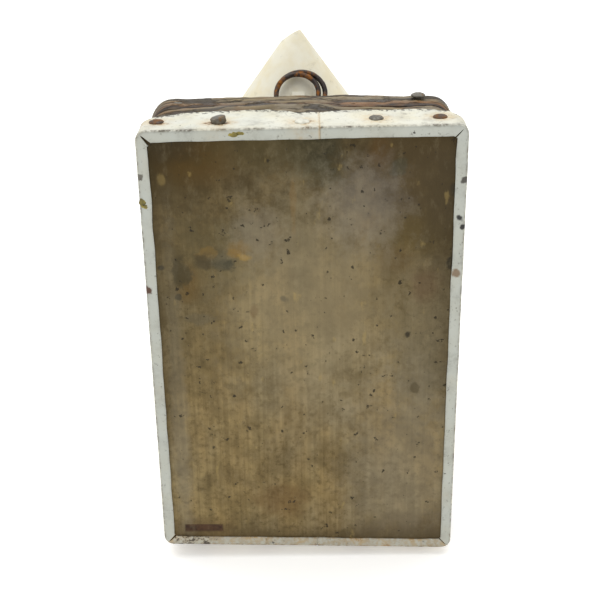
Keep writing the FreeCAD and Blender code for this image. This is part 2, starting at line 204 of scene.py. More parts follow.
def addNode(tree, kind, inputs=None, output=0, **settings):
    made = tree.nodes.new("ShaderNode" + kind)
    for setting, value in settings.items():
        setattr(made, setting, value)
    for socket, value in (inputs or {}).items():
        if isinstance(value, bpy.types.NodeSocket):
            tree.links.new(value, made.inputs[socket])
        elif isinstance(value, str):
            made.inputs[socket].default_value = fromHex(value)
        else:
            made.inputs[socket].default_value = value
    return made.outputs[output]


def newFinish(name, roughness, metallic=0.0):
    finish = bpy.data.materials.new(name)
    finish.use_nodes = True
    tree = finish.node_tree
    shader = tree.nodes["Principled BSDF"]
    shader.inputs["Roughness"].default_value = roughness
    shader.inputs["Metallic"].default_value = metallic
    place = addNode(tree, "TexCoord", output="Object")
    return finish, tree, shader, place


def patches(tree, place, size, low, high, stretch=(1, 1, 1), detail=5, roughness=0.55, shift=0.0):
    # soft-edged patches: size is the real width of one patch, in mm
    scale = [1 / mm(size * along) for along in stretch]
    spread = addNode(tree, "Mapping", {"Vector": place, "Scale": scale,
                                      "Location": (shift, shift * 2, -shift)})
    field = addNode(tree, "TexNoise", {"Vector": spread, "Scale": 0.5, "Detail": detail,
                                       "Roughness": roughness})
    return addNode(tree, "MapRange", {"Value": field, "From Min": low, "From Max": high},
                   interpolation_type="SMOOTHSTEP")


def spotMask(tree, place, centre, reach, edge, ragged):
    # 1 inside an ellipsoid, 0 outside; centre and reach in mm, ragged is a mask that breaks its edge
    moved = addNode(tree, "VectorMath", {0: place, 1: [mm(c) for c in centre]}, operation="SUBTRACT")
    scaled = addNode(tree, "VectorMath", {0: moved, 1: [mm(r) for r in reach]}, operation="DIVIDE")
    away = addNode(tree, "VectorMath", {0: scaled}, "Value", operation="LENGTH")
    away = addNode(tree, "Math", {0: ragged, 1: -0.9, 2: away}, operation="MULTIPLY_ADD")
    return addNode(tree, "MapRange", {"Value": away, "From Min": 1 + edge, "From Max": 1 - edge},
                   interpolation_type="SMOOTHSTEP")


def coats(tree, colour, *over):
    # each coat is a colour, the mask that says where it lies, and how strong it is
    for shade, mask, strength in over:
        weak = addNode(tree, "Math", {0: mask, 1: strength}, operation="MULTIPLY", use_clamp=True)
        colour = addNode(tree, "MixRGB", {"Fac": weak, "Color1": colour, "Color2": shade})
    return colour


def alongAxis(tree, place, axis, start, end):
    # rises from 0 to 1 between two places on one axis, in mm
    spot = addNode(tree, "SeparateXYZ", {0: place}, axis)
    return addNode(tree, "MapRange", {"Value": spot, "From Min": mm(start), "From Max": mm(end)},
                   interpolation_type="SMOOTHSTEP")


def surface(tree, shader, colour, heights, roughBy=None, smoothest=0.0, roughest=1.0):
    # heights: pairs of a mask and its real height in mm, summed into one bump
    tree.links.new(colour, shader.inputs["Base Color"])
    if roughBy is not None:
        rough = addNode(tree, "MapRange", {"Value": roughBy, "To Min": smoothest, "To Max": roughest})
        tree.links.new(rough, shader.inputs["Roughness"])
    total = 0.0
    for mask, height in heights:
        total = addNode(tree, "Math", {0: mask, 1: height, 2: total}, operation="MULTIPLY_ADD")
    bump = addNode(tree, "Bump", {"Height": total, "Distance": mm(1), "Strength": 1.0})
    tree.links.new(bump, shader.inputs["Normal"])


def keepMasks(piece, names, marks):
    for i, name in enumerate(names):
        mask = piece.data.attributes.new(name, "FLOAT", "POINT")
        mask.data.foreach_set("value", [min(1, mark[i]) for mark in marks])


def finishPiece(piece, finish, body, slotName, *replaced):
    piece.data.materials.clear()
    for each in finish if isinstance(finish, (list, tuple)) else [finish]:
        piece.data.materials.append(each)
    if body:
        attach(piece, body)
    if replaced:
        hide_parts(*replaced)


# weathered softwood: bare, handled, smoked and stained, so nearly matt with dark grain lines and dirt
boardStains = [      # centre x and z, half width and half height in mm, colour, strength
    (-50, 203, 15, 9, "#342a0f", 0.95), (-40, 199, 12, 7, "#523c13", 0.7), (8, 203, 8, 6, "#25240f", 0.9),
    (-12, 202, 13, 6, "#4a4022", 0.6), (13, 192, 6, 4, "#33301a", 0.8), (35, 202, 3, 5, "#583c14", 0.7),
    (56, 194, 18, 22, "#43351a", 0.8), (43, 194, 2.4, 2.6, "#3d3b2a", 0.6),
    (-33, 157, 12, 10, "#4b4225", 0.65), (-36, 155, 5, 3, "#2f3024", 0.7),
    (-24, 160, 4, 2.2, "#77591f", 0.5), (-38, 157, 3, 2, "#80632a", 0.45),
    (-47, 144, 3.4, 6, "#5d4415", 0.95), (-55, 190, 1.3, 1.8, "#8f7a4a", 0.5),
    (-1, 180, 1.0, 8, "#6f5120", 0.4), (-19, 130, 1.4, 2.6, "#5d4417", 0.9),
    (-6, 136, 1.3, 1.2, "#30250f", 0.95), (49, 165, 9, 7, "#4d3e18", 0.8), (42, 153, 5, 4, "#54401d", 0.7),
    (20, 133, 6, 10, "#5d4c2a", 0.55), (66, 185, 1.6, 2, "#191a14", 1.0),
    (66, 152, 1.6, 2.4, "#191a14", 1.0), (-58, 151, 1.3, 1.1, "#1d2224", 1.0),
    (-27, 157, 2.2, 1.4, "#76591f", 0.7), (-31, 152, 4, 2.4, "#2c2c1e", 0.85),
    (-40, 153, 3, 2.5, "#3a3018", 0.85), (-22, 155, 2, 1.2, "#94742e", 0.7),
    (-49, 149, 3, 4, "#2e2812", 0.85), (-54, 205, 10, 5, "#2e240c", 0.8), (60, 172, 5, 14, "#3c3015", 0.6),
    (-44, 127, 5, 2, "#565040", 0.5), (-51, 137, 1.0, 1.0, "#1e1a0d", 1.0), (-8, 33, 8, 6, "#5f4520", 0.6),
    (56, 17, 16, 5, "#4a3a1d", 0.8), (-52, 16, 14, 4, "#54401f", 0.6), (28, 178, 11, 12, "#85807a", 0.32),
    (-16, 166, 7, 8, "#817b71", 0.3), (48, 50, 16, 34, "#857c68", 0.4), (-54, 75, 2.4, 56, "#857f6d", 0.35),
    (56, 110, 9, 24, "#77705c", 0.35), (4, 134, 24, 34, "#93876a", 0.45),
    (-46, 132, 12, 30, "#55492c", 0.4), (44, 134, 10, 14, "#574b30", 0.4),
    (52, 91, 1.2, 1.6, "#453a22", 0.6), (48, 118, 1.0, 1.2, "#2a2415", 0.9),
    (56, 141, 4, 5, "#4c3018", 0.5),
]


def weatheredSoftwood(name, look):
    finish, tree, shader, place = newFinish(name, 0.68)
    shader.inputs["Specular IOR Level"].default_value = 0.22
    grain = patches(tree, place, 0.9, 0.35, 0.65, stretch=(1, 1, 50), detail=4)    # growth lines
    bands = patches(tree, place, 8, 0.38, 0.64, stretch=(1, 1, 4), detail=5)
    clouds = patches(tree, place, 26, 0.38, 0.62, detail=6)
    mottle = patches(tree, place, 5, 0.40, 0.62, detail=8, roughness=0.65, shift=3)
    ragged = patches(tree, place, 4, 0.3, 0.7, detail=8, roughness=0.7, shift=7)
    smudges = patches(tree, place, 13, 0.46, 0.66, detail=7, roughness=0.62, shift=17)
    colour = coats(tree, look["warm"], (look["grey"], clouds, 0.68), (look["ochre"], bands, 0.35))
    pepper = patches(tree, place, 1.3, 0.47, 0.68, detail=6, roughness=0.7, shift=23)
    colour = coats(tree, colour, (look["dark"], mottle, 0.40), (look["dark"], smudges, 0.48),
                   (look["dark"], pepper, 0.55), (look["dark"], grain, 0.32))
    if look["stained"]:
        handled = alongAxis(tree, place, 2, 138, 222)
        upper = addNode(tree, "Math", {0: handled, 1: mottle}, operation="MULTIPLY")
        colour = coats(tree, colour, ("#2f260f", upper, 0.8),
                       ("#3c2f12", alongAxis(tree, place, 2, 108, 216), 0.80))
        for x, z, wide, tall, shade, strength in boardStains:
            big = wide * tall > 12
            spot = spotMask(tree, place, (x, -110, z), (wide, 30, tall), 0.85 if big else 0.5,
                            ragged if big else mottle)
            colour = coats(tree, colour, (shade, spot, strength * (0.85 if big else 1)))
        left, right = alongAxis(tree, place, 0, -46, -66), alongAxis(tree, place, 0, 50, 70)
        sides = addNode(tree, "Math", {0: right, 1: left}, operation="MAXIMUM")
        above = alongAxis(tree, place, 2, 40, 120)
        upperSides = addNode(tree, "Math", {0: sides, 1: above}, operation="MULTIPLY")
        colour = coats(tree, colour, ("#372c14", upperSides, 0.6),
                       ("#40331a", alongAxis(tree, place, 2, 22, 8), 0.7))
        x, z, wide, tall = look["scorch"]
        scorch = 1.0
        for axis, start, end in ((0, x - wide - 0.4, x - wide + 0.6), (0, x + wide + 0.6, x + wide - 0.6),
                                 (2, z - tall - 0.8, z - tall + 0.6), (2, z + tall + 0.2, z + tall - 0.2)):
            inside = alongAxis(tree, place, axis, start, end)
            scorch = addNode(tree, "Math", {0: scorch, 1: inside}, operation="MULTIPLY")
        colour = coats(tree, colour, ("#2c170b", scorch, 0.92))
        uneven = patches(tree, place, 1.2, 0.3, 0.7, shift=4)
        paler = addNode(tree, "Math", {0: scorch, 1: uneven}, operation="MULTIPLY")
        colour = coats(tree, colour, ("#6b4a2c", paler, 0.35))
    dust = patches(tree, place, 2.2, 0.52, 0.70, stretch=(1, 1, 2), detail=8, roughness=0.72, shift=29)
    colour = coats(tree, colour, ("#a59878", dust, 0.10))
    specks = patches(tree, place, 1.7, 0.655, 0.70, detail=4, shift=11)    # flecks of soot
    scuffs = patches(tree, place, 2.4, 0.64, 0.74, stretch=(1, 1, 2.2), detail=6, shift=5)
    colour = coats(tree, colour, ("#221c0e", specks, 0.85), (look["scuff"], scuffs, 0.26))
    heights = [(grain, -0.05), (mottle, -0.05), (specks, -0.12), (scuffs, -0.08)]
    surface(tree, shader, colour, heights, clouds, 0.55, 0.78)
    return finish


# old oil paint: brushed on by hand, so it keeps soft unevenness, dulls with age and lets rust through
def agedOilPaint(name, look):
    finish, tree, shader, place = newFinish(name, 0.5)
    cloud = patches(tree, place, 22, 0.38, 0.62, detail=5)
    soft = patches(tree, place, 6, 0.38, 0.66, detail=6, shift=4)
    brush = patches(tree, place, 1.2, 0.3, 0.7, stretch=look["brush"], detail=3, shift=2)
    grime = patches(tree, place, 2.4, 0.56, 0.72, detail=8, roughness=0.7, shift=8)
    chips = patches(tree, place, 1.6, look["chips"], look["chips"] + 0.025, detail=7, roughness=0.6,
                    shift=15)
    colour = coats(tree, look["paint"], (look["cool"], cloud, 0.6),
                   (look["ochre"], soft, look["ochreAmount"]), (look["grime"], grime, look["grimeAmount"]))
    worn = chips
    if look["painted"]:      # the strip carries its own masks for dirt and painted shade, rust, bare metal and its front face, which is painted a darker grey as painted shade
        dirtAndShade, rust, bare, face = [addNode(tree, "Attribute", output="Fac", attribute_name=kept)
                                  for kept in ("dirtAndShade", "rust", "bare", "face")]
        broken = patches(tree, place, 1.1, 0.38, 0.60, detail=7, roughness=0.7, shift=21)
        # the front face is painted a darker, cooler grey than the strip's upward faces: painted shade on the
        # same paint
        colour = coats(tree, colour, ("#a2a69f", face, 0.72))
        patchy = addNode(tree, "Math", {0: broken, 1: 0.35}, operation="ADD")
        # dirt and painted shade: the fold and the face's inner edge are painted darker
        dirtAndShadeMask = addNode(tree, "Math", {0: dirtAndShade, 1: patchy}, operation="MULTIPLY")
        colour = coats(tree, colour, ("#4a4233", dirtAndShadeMask, 0.8))
        patchy = addNode(tree, "Math", {0: broken, 1: 0.45}, operation="ADD")
        rustMask = addNode(tree, "Math", {0: rust, 1: patchy}, operation="MULTIPLY")
        colour = coats(tree, colour, ("#b78d38", rustMask, 0.8))
        deep = addNode(tree, "MapRange", {"Value": rustMask, "From Min": 0.55, "From Max": 0.95})
        colour = coats(tree, colour, ("#5a3312", deep, 0.9))
        flaked = addNode(tree, "Math", {0: bare, 1: broken}, operation="ADD")
        bareMask = addNode(tree, "MapRange", {"Value": flaked, "From Min": 1.05, "From Max": 1.2})
        worn = addNode(tree, "Math", {0: worn, 1: bareMask}, operation="MAXIMUM")
        specks = patches(tree, place, 0.9, 0.60, 0.65, detail=8, roughness=0.75, shift=27)
        colour = coats(tree, colour, ("#5a574c", specks, 0.75))
        scuffs = patches(tree, place, 5, 0.52, 0.66, detail=9, roughness=0.78, shift=41)
        colour = coats(tree, colour, ("#9b9a90", scuffs, 0.5))
    colour = coats(tree, colour, ("#241b12", worn, 0.88))
    for x, y, z, reach, shade, strength in look["marks"]:
        ragged = patches(tree, place, 1.5, 0.3, 0.7, detail=6, shift=31)
        spot = spotMask(tree, place, (x, y, z), (reach, reach, reach), 0.4, ragged)
        colour = coats(tree, colour, (shade, spot, strength))
    shader.inputs["Coat Weight"].default_value = 0.08
    shader.inputs["Coat Roughness"].default_value = 0.35
    heights = [(brush, 0.03), (soft, 0.06), (worn, -0.12), (grime, -0.03)]
    surface(tree, shader, colour, heights, soft, 0.42, 0.62)
    return finish


# bellows leather: smoke-dried hide that has cracked along its folds, matt with greasy high spots; its fold
# tops are painted lighter, rubbed wear with a painted highlight, and its valleys, fold grooves and crease are
# painted dark as painted shade
def oldBellowsLeather():
    finish, tree, shader, place = newFinish("oldBellowsLeather", 0.6)
    cloud = patches(tree, place, 16, 0.38, 0.62, detail=5)
    smears = patches(tree, place, 4, 0.42, 0.62, stretch=(4, 1, 4), detail=6, shift=3)
    cracks = patches(tree, place, 1.5, 0.51, 0.56, stretch=(9, 1, 9), detail=7, roughness=0.68, shift=6)
    bloom = patches(tree, place, 3, 0.50, 0.64, stretch=(3, 1, 3), detail=6, shift=14)
    pores = patches(tree, place, 0.8, 0.45, 0.65, detail=3, shift=9)
    valley, ridge, torn = [addNode(tree, "Attribute", output="Fac", attribute_name=kept)
                           for kept in ("valley", "ridge", "torn")]
    colour = coats(tree, "#6b5e47", ("#80745b", cloud, 0.7), ("#4a3a22", smears, 0.6))
    # the fold tops are painted lighter: rubbed wear with a painted highlight
    rubbedWithHighlight = addNode(tree, "Math", {0: ridge, 1: smears}, operation="MULTIPLY")
    # the valley mask is painted near black: painted shade in the valleys, fold grooves, corner fold lines and
    # the crease, where the hide is also cracked
    colour = coats(tree, colour, ("#a8966f", rubbedWithHighlight, 0.55), ("#80521c", torn, 0.75),
                   ("#21160a", valley, 0.95), ("#7b501f", bloom, 0.35), ("#1c140b", cracks, 0.8))
    surface(tree, shader, colour, [(cracks, -0.25), (smears, 0.12), (pores, -0.06)], smears, 0.45, 0.72)
    return finish


# rusted steel: dark scale with orange bloom, no shine left
def rustedSteel(name, look):
    finish, tree, shader, place = newFinish(name, 0.7, look["metallic"])
    bloom = patches(tree, place, look["bloomSize"], look["bloomFrom"], look["bloomFrom"] + 0.16, detail=7,
                    roughness=0.7, shift=look["shift"])
    scale = patches(tree, place, 1.0, 0.45, 0.62, detail=6, shift=look["shift"] + 3)
    colour = coats(tree, look["base"], (look["scale"], scale, 0.7), (look["bloom"], bloom, 0.85))
    surface(tree, shader, colour, [(bloom, 0.10), (scale, -0.08)], bloom, look["smooth"], 0.88)
    return finish


# propolis: bee resin, a dark olive-yellow glue with a dull gloss
def propolis():
    finish, tree, shader, place = newFinish("propolis", 0.42)
    lumps = patches(tree, place, 1.4, 0.4, 0.62, detail=5)
    colour = coats(tree, "#6d6220", ("#9a8a33", lumps, 0.9),
                   ("#332c10", patches(tree, place, 1.0, 0.5, 0.66, shift=5), 0.7))
    surface(tree, shader, colour, [(lumps, 0.2)])
    return finish


woodColours = {"warm": "#8b784e", "grey": "#85795f", "ochre": "#8a6f3c", "dark": "#453716",
               "scuff": "#ab9256", "stained": True, "scorch": (-46, 17.0, 9.0, 1.9)}
backWood = {"warm": "#7d6543", "grey": "#766a58", "ochre": "#6e552f", "dark": "#3c2e1a", "scuff": "#97794a",
            "stained": False}
tinPaint = {"paint": "#d3d2c3", "cool": "#c3c6bd", "ochre": "#c9bf9d", "ochreAmount": 0.35,
            "grime": "#8e897a", "grimeAmount": 0.8, "chips": 0.69, "brush": (6, 6, 6), "painted": True,
            "marks": [(-65, -110, 140.7, 1.6, "#4a2a12", 1.0), (68.6, -110, 172, 1.0, "#16140f", 1.0),
                      (70, -110, 168, 0.8, "#16140f", 1.0), (70, -110, 188.8, 1.1, "#2a2218", 0.9),
                      (68, -110, 147, 1.2, "#6a4a1e", 0.8), (-64, -110, 192, 1.0, "#3a2f1c", 0.8)]}
lidPaint = {"paint": "#e4dfca", "cool": "#d3d0c0", "ochre": "#d2c294", "ochreAmount": 0.42,
            "grime": "#9a9484", "grimeAmount": 0.45, "chips": 0.77, "brush": (1, 1, 8), "painted": False,
            "marks": [(10, -22, 208, 1.0, "#8d897c", 0.7), (11.6, -22, 208, 0.9, "#8d897c", 0.6),
                      (-7.2, -1, 224.6, 1.2, "#2a241a", 0.9)]}
potPaint = dict(lidPaint, paint="#c9c3ab", chips=0.70, grimeAmount=0.7, ochreAmount=0.6,
                marks=[(30, -36, 20, 16, "#5b4426", 0.6), (-20, 40, 12, 18, "#4c3a24", 0.6)])
tackRust = {"metallic": 0.25, "bloomSize": 2.0, "bloomFrom": 0.46, "shift": 0.0, "base": "#4a3826",
            "scale": "#2a2119", "bloom": "#7d5429", "smooth": 0.5}
greyTackSteel = dict(tackRust, base="#6e6a60", scale="#4b463d", bloom="#7a5c34", bloomFrom=0.52, shift=2.0)
ringRust = dict(tackRust, metallic=0.35, base="#2c2018", scale="#17110d", bloom="#9a6122", bloomFrom=0.5,
                bloomSize=2.6, smooth=0.38)
hardwareRust = dict(tackRust, base="#5a4d3e", scale="#332a21", bloom="#7f5226", bloomSize=4.0, shift=5.0)
sootIron = dict(tackRust, base="#26221e", scale="#15130f", bloom="#4a3826", bloomSize=9.0, bloomFrom=0.55,
                shift=7.0)
paintedTackWhite = dict(tackRust, metallic=0.0, base="#cfcdbf", scale="#b4b1a2", bloom="#8f8a79", smooth=0.45,
                        bloomFrom=0.6, shift=9.0)

finishes = {
    "frontWood": weatheredSoftwood("weatheredSoftwood", woodColours),
    "backWood": weatheredSoftwood("smokedSoftwood", backWood),
    "tin": agedOilPaint("whiteOilPaintOnTinplate", tinPaint),
    "lid": agedOilPaint("creamOilPaintOnSheet", lidPaint),
    "pot": agedOilPaint("scorchedOilPaintOnSheet", potPaint),
    "leather": oldBellowsLeather(),
    "tack": rustedSteel("rustedTack", tackRust),
    "greyTack": rustedSteel("greyTack", greyTackSteel),
    "whiteTack": rustedSteel("paintedTack", paintedTackWhite),
    "ring": rustedSteel("rustedWire", ringRust),
    "hardware": rustedSteel("rustedHardware", hardwareRust),
    "soot": rustedSteel("sootySheetIron", sootIron),
    "propolis": propolis(),
}
print("finishes mixed")


frontBoardLook = {"columns": 84, "rows": 128, "wear": mm(0.45), "corner": mm(4.2), "scorchDepth": mm(0.35)}


def boardEdge(top):
    # the CAD board's top or bottom edge: its height at the middle, and its slope
    low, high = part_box("front_board")
    middle = (low + high) / 2
    ends = []
    for side in (-1, 1):
        half = [v.co for v in nodes["front_board"].data.vertices
                if (v.co.z > middle.z) == top and (v.co.x - middle.x) * side > 0]
        ends.append(max(half, key=lambda co: co.z if top else -co.z))
    slope = (ends[1].z - ends[0].z) / (ends[1].x - ends[0].x)
    return ends[0].z + slope * (middle.x - ends[0].x), slope


def makeFrontBoard(look):
    low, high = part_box("front_board")
    middle = (low + high) / 2
    topHeight, topSlope = boardEdge(True)
    bottomHeight, bottomSlope = boardEdge(False)
    board = startPiece("frontBoard", bpy.ops.mesh.primitive_grid_add, x_subdivisions=look["columns"],
                       y_subdivisions=look["rows"], size=1, location=(0, low.y, 0),
                       rotation=(math.pi / 2, 0, 0))
    corner = look["corner"]
    for vert in board.data.vertices:
        fromMiddle = vert.co.x * (high.x - low.x)
        vert.co.x = middle.x + fromMiddle
        top = topHeight + topSlope * fromMiddle
        bottom = bottomHeight + bottomSlope * fromMiddle
        share = vert.co.z + 0.5
        vert.co.z = bottom + (top - bottom) * share
        centreX = middle.x + math.copysign((high.x - low.x) / 2 - corner, fromMiddle)
        centreZ = top - corner if share > 0.5 else bottom + corner
        away = Vector((vert.co.x - centreX, vert.co.z - centreZ))
        if away.x * fromMiddle > 0 and away.y * (share - 0.5) > 0 and away.length > corner:
            away = away.normalized() * corner
            vert.co.x = centreX + away.x
            vert.co.z = centreZ + away.y
    editAll(board, bpy.ops.mesh.extrude_region_move,
            TRANSFORM_OT_translate={"value": (0, high.y - low.y, 0)})
    x, z, wide, tall = woodColours["scorch"]

    def inScorch(co):
        overX = abs(co.x - mm(x)) / mm(wide)
        overZ = abs(co.z - mm(z) + (co.x - mm(x)) * 0.02) / mm(tall)
        return 1.0 if max(overX, overZ) < 1 else 0.0

    for vert in board.data.vertices:
        if vert.co.y < low.y + mm(0.3):
            worn = 0.5 + 0.35 * wobble(vert.co, mm(30)) + 0.25 * wobble(vert.co, mm(7), 4)
            worn += 0.2 * wobble(Vector((vert.co.x * 6, 0, vert.co.z)), mm(8), 8)
            pit = max(0.0, wobble(vert.co, mm(3.4), 12) - 0.48) * 2.2
            vert.co.y += look["wear"] * (max(worn, 0) + pit) + look["scorchDepth"] * inScorch(vert.co)
    faceOutward(board)
    smoothByAngle(board, 50)
    return board


frontBoard = makeFrontBoard(frontBoardLook)
finishPiece(frontBoard, finishes["frontWood"], "moving_board", "board_wood", "front_board")
print("front board planed and worn")


def roundCorners(spots, reach):
    eased = []
    for i, spot in enumerate(spots):
        before = (spots[i - 1] - spot).normalized()
        after = (spots[(i + 1) % len(spots)] - spot).normalized()
        if before.dot(after) < -0.8:
            eased.append(spot)
            continue
        start, end = spot + before * reach, spot + after * reach
        for k in range(9):
            share = k / 8
            eased.append(start.lerp(spot, share).lerp(spot.lerp(end, share), share))
    return eased


def outerHull(spots):
    hull = []
    for run in (spots, spots[::-1]):
        side = []
        for spot in run:
            while len(side) > 1:
                first, second = side[-1] - side[-2], spot - side[-1]
                if first.x * second.y - first.y * second.x > 0:
                    break
                side.pop()
            side.append(spot)
        hull += side[:-1]
    return hull


def outlineLoop(node, depth, startX, step, rounding=0.0):
    # the node's outline at one depth: evenly spaced spots and outward directions, clockwise from the top
    spots = sorted({(round(v.co.x, 6), round(v.co.z, 6)) for v in nodes[node].data.vertices
                    if abs(v.co.y - depth) < mm(0.08)})
    middle = Vector(((min(spots)[0] + max(spots)[0]) / 2, sum(s[1] for s in spots) / len(spots)))
    spots = outerHull([Vector(s) for s in spots])
    spots.sort(key=lambda s: math.atan2(s.x - middle.x, s.y - middle.y))
    if rounding:
        spots = roundCorners(spots, rounding)
    crossing = max(range(len(spots)), key=lambda i: (
        spots[i].y > middle.y and spots[i].x <= startX < spots[(i + 1) % len(spots)].x, spots[i].y))
    first, second = spots[crossing], spots[(crossing + 1) % len(spots)]
    start = first.lerp(second, (startX - first.x) / (second.x - first.x))
    loop = [start] + spots[crossing + 1:] + spots[:crossing + 1] + [start]
    lengths = [0.0]
    for here, there in zip(loop, loop[1:]):
        lengths.append(lengths[-1] + (there - here).length)
    count = round(lengths[-1] / step)
    evenly = []
    k = 0
    for i in range(count):
        want = lengths[-1] * i / count
        while lengths[k + 1] < want:
            k += 1
        share = (want - lengths[k]) / max(lengths[k + 1] - lengths[k], 1e-9)
        evenly.append(loop[k].lerp(loop[k + 1], share))
    outward = []
    for i in range(count):
        run = evenly[(i + 1) % count] - evenly[i - 1]
        outward.append(Vector((-run.y, run.x)).normalized())
    return evenly, outward


edgingLook = {
    "tin": mm(0.5), "face": mm(4.7), "bend": mm(0.9), "step": mm(0.8), "rounding": mm(4.5), "dents": mm(0.22),
    "topSeam": mm(10.2), "bottomSeam": mm(7.5), "lap": mm(3.5), "mitreReach": mm(5.2),
    "skirtRows": 16, "bendRows": 4, "faceRows": 6,      # rows of faces across the strip
    # hand-cut back edge along the top: x, depth in mm
    "topDepth": [(-64, 15), (-58, 19), (-52, 21.5), (-44, 25.5), (-34, 26.5), (-28, 25.8), (-19, 27.2),
                 (-12, 27.6), (-5, 25.5), (2, 21.7), (10, 22), (20, 24), (29, 24.4), (38, 23.2), (49, 23.9),
                 (57, 22.4), (64, 19.5), (68, 14), (71, 9.5)],
    # how far each corner's cut opens, outside and inside, in mm: right or left, upper or lower
    "slots": {(False, True): (0.6, 2.6), (True, True): (0.35, 1.0),
              (False, False): (0.5, 1.4), (True, False): (0.35, 0.9)},
}


def cornerCuts(path, outs):
    # the cut across the face at each corner sits where the outline runs at 45 degrees
    nearest = {}
    for k, i in enumerate(path):
        tilt = abs(abs(outs[i].x) - abs(outs[i].y))
        corner = (outs[i].x > 0, outs[i].y > 0)
        if tilt < 0.5 and tilt < nearest.get(corner, (9, 0))[0]:
            nearest[corner] = (tilt, k)
    cuts = [where for tilt, where in nearest.values()]
    columns, cutAfter = [], []
    for k, i in enumerate(path):
        columns.append(i)
        if k in cuts:
            cutAfter.append(len(columns) - 1)
            columns.append(i)
    return columns, cutAfter


def crossingOf(one, other):
    # where two lines meet, each given by its outward direction and how far out it lies
    (first, firstReach), (second, secondReach) = one, other
    cross = first.x * second.y - first.y * second.x
    return Vector(((firstReach * second.y - secondReach * first.y) / cross,
                   (first.x * secondReach - second.x * firstReach) / cross))


def tinWear(point, row, onFace, atTop, atBottom, tackSpots, look):
    # dirt and painted shade in the fold and along the face's inner edge next to the wood, rust round the
    # nails, bare metal at the edges, and 1 for the front face
    fold = row - look["skirtRows"]
    # dirt and painted shade in the fold of the bend
    dirtAndShade = math.exp(-((fold - 1.5) / 1.6) ** 2) * (0.55 + 0.9 * max(0, wobble(point, mm(7), 7) + 0.25))
    # painted shade along the inner edge of the face, where the tin meets the wood
    dirtAndShade += max(0.0, onFace - 0.82) * 2.5 * (0.5 + 0.5 * wobble(point, mm(7), 1))
    dirtAndShade += 0.35 * max(0, wobble(point, mm(10), 13))
    rust = 0.0
    for tack in tackSpots:
        away = (tack - point).length / mm(1)
        rust = max(rust, math.exp(-((away - 2.0) / 4.6) ** 2) * (0.8 + 0.8 * wobble(point, mm(4), 17)))
    bare = 0.5 * max(0.0, 1 - row / 2.0)
    if atBottom:
        rust += 0.25 + 0.5 * max(0, wobble(point, mm(8), 19))
        under = max(0.0, 1 - abs(fold - 1) / 3)
        bare += under * 0.55
        if mm(-60) < point.x < mm(-44):
            bare += 0.75 * under + 0.3
        dirtAndShade += 0.3
    if atTop and abs(point.x - look["topSeam"]) < mm(0.6):
        rust += 0.45
    return dirtAndShade, rust, bare, 1.0 if fold > 2 else 0.0


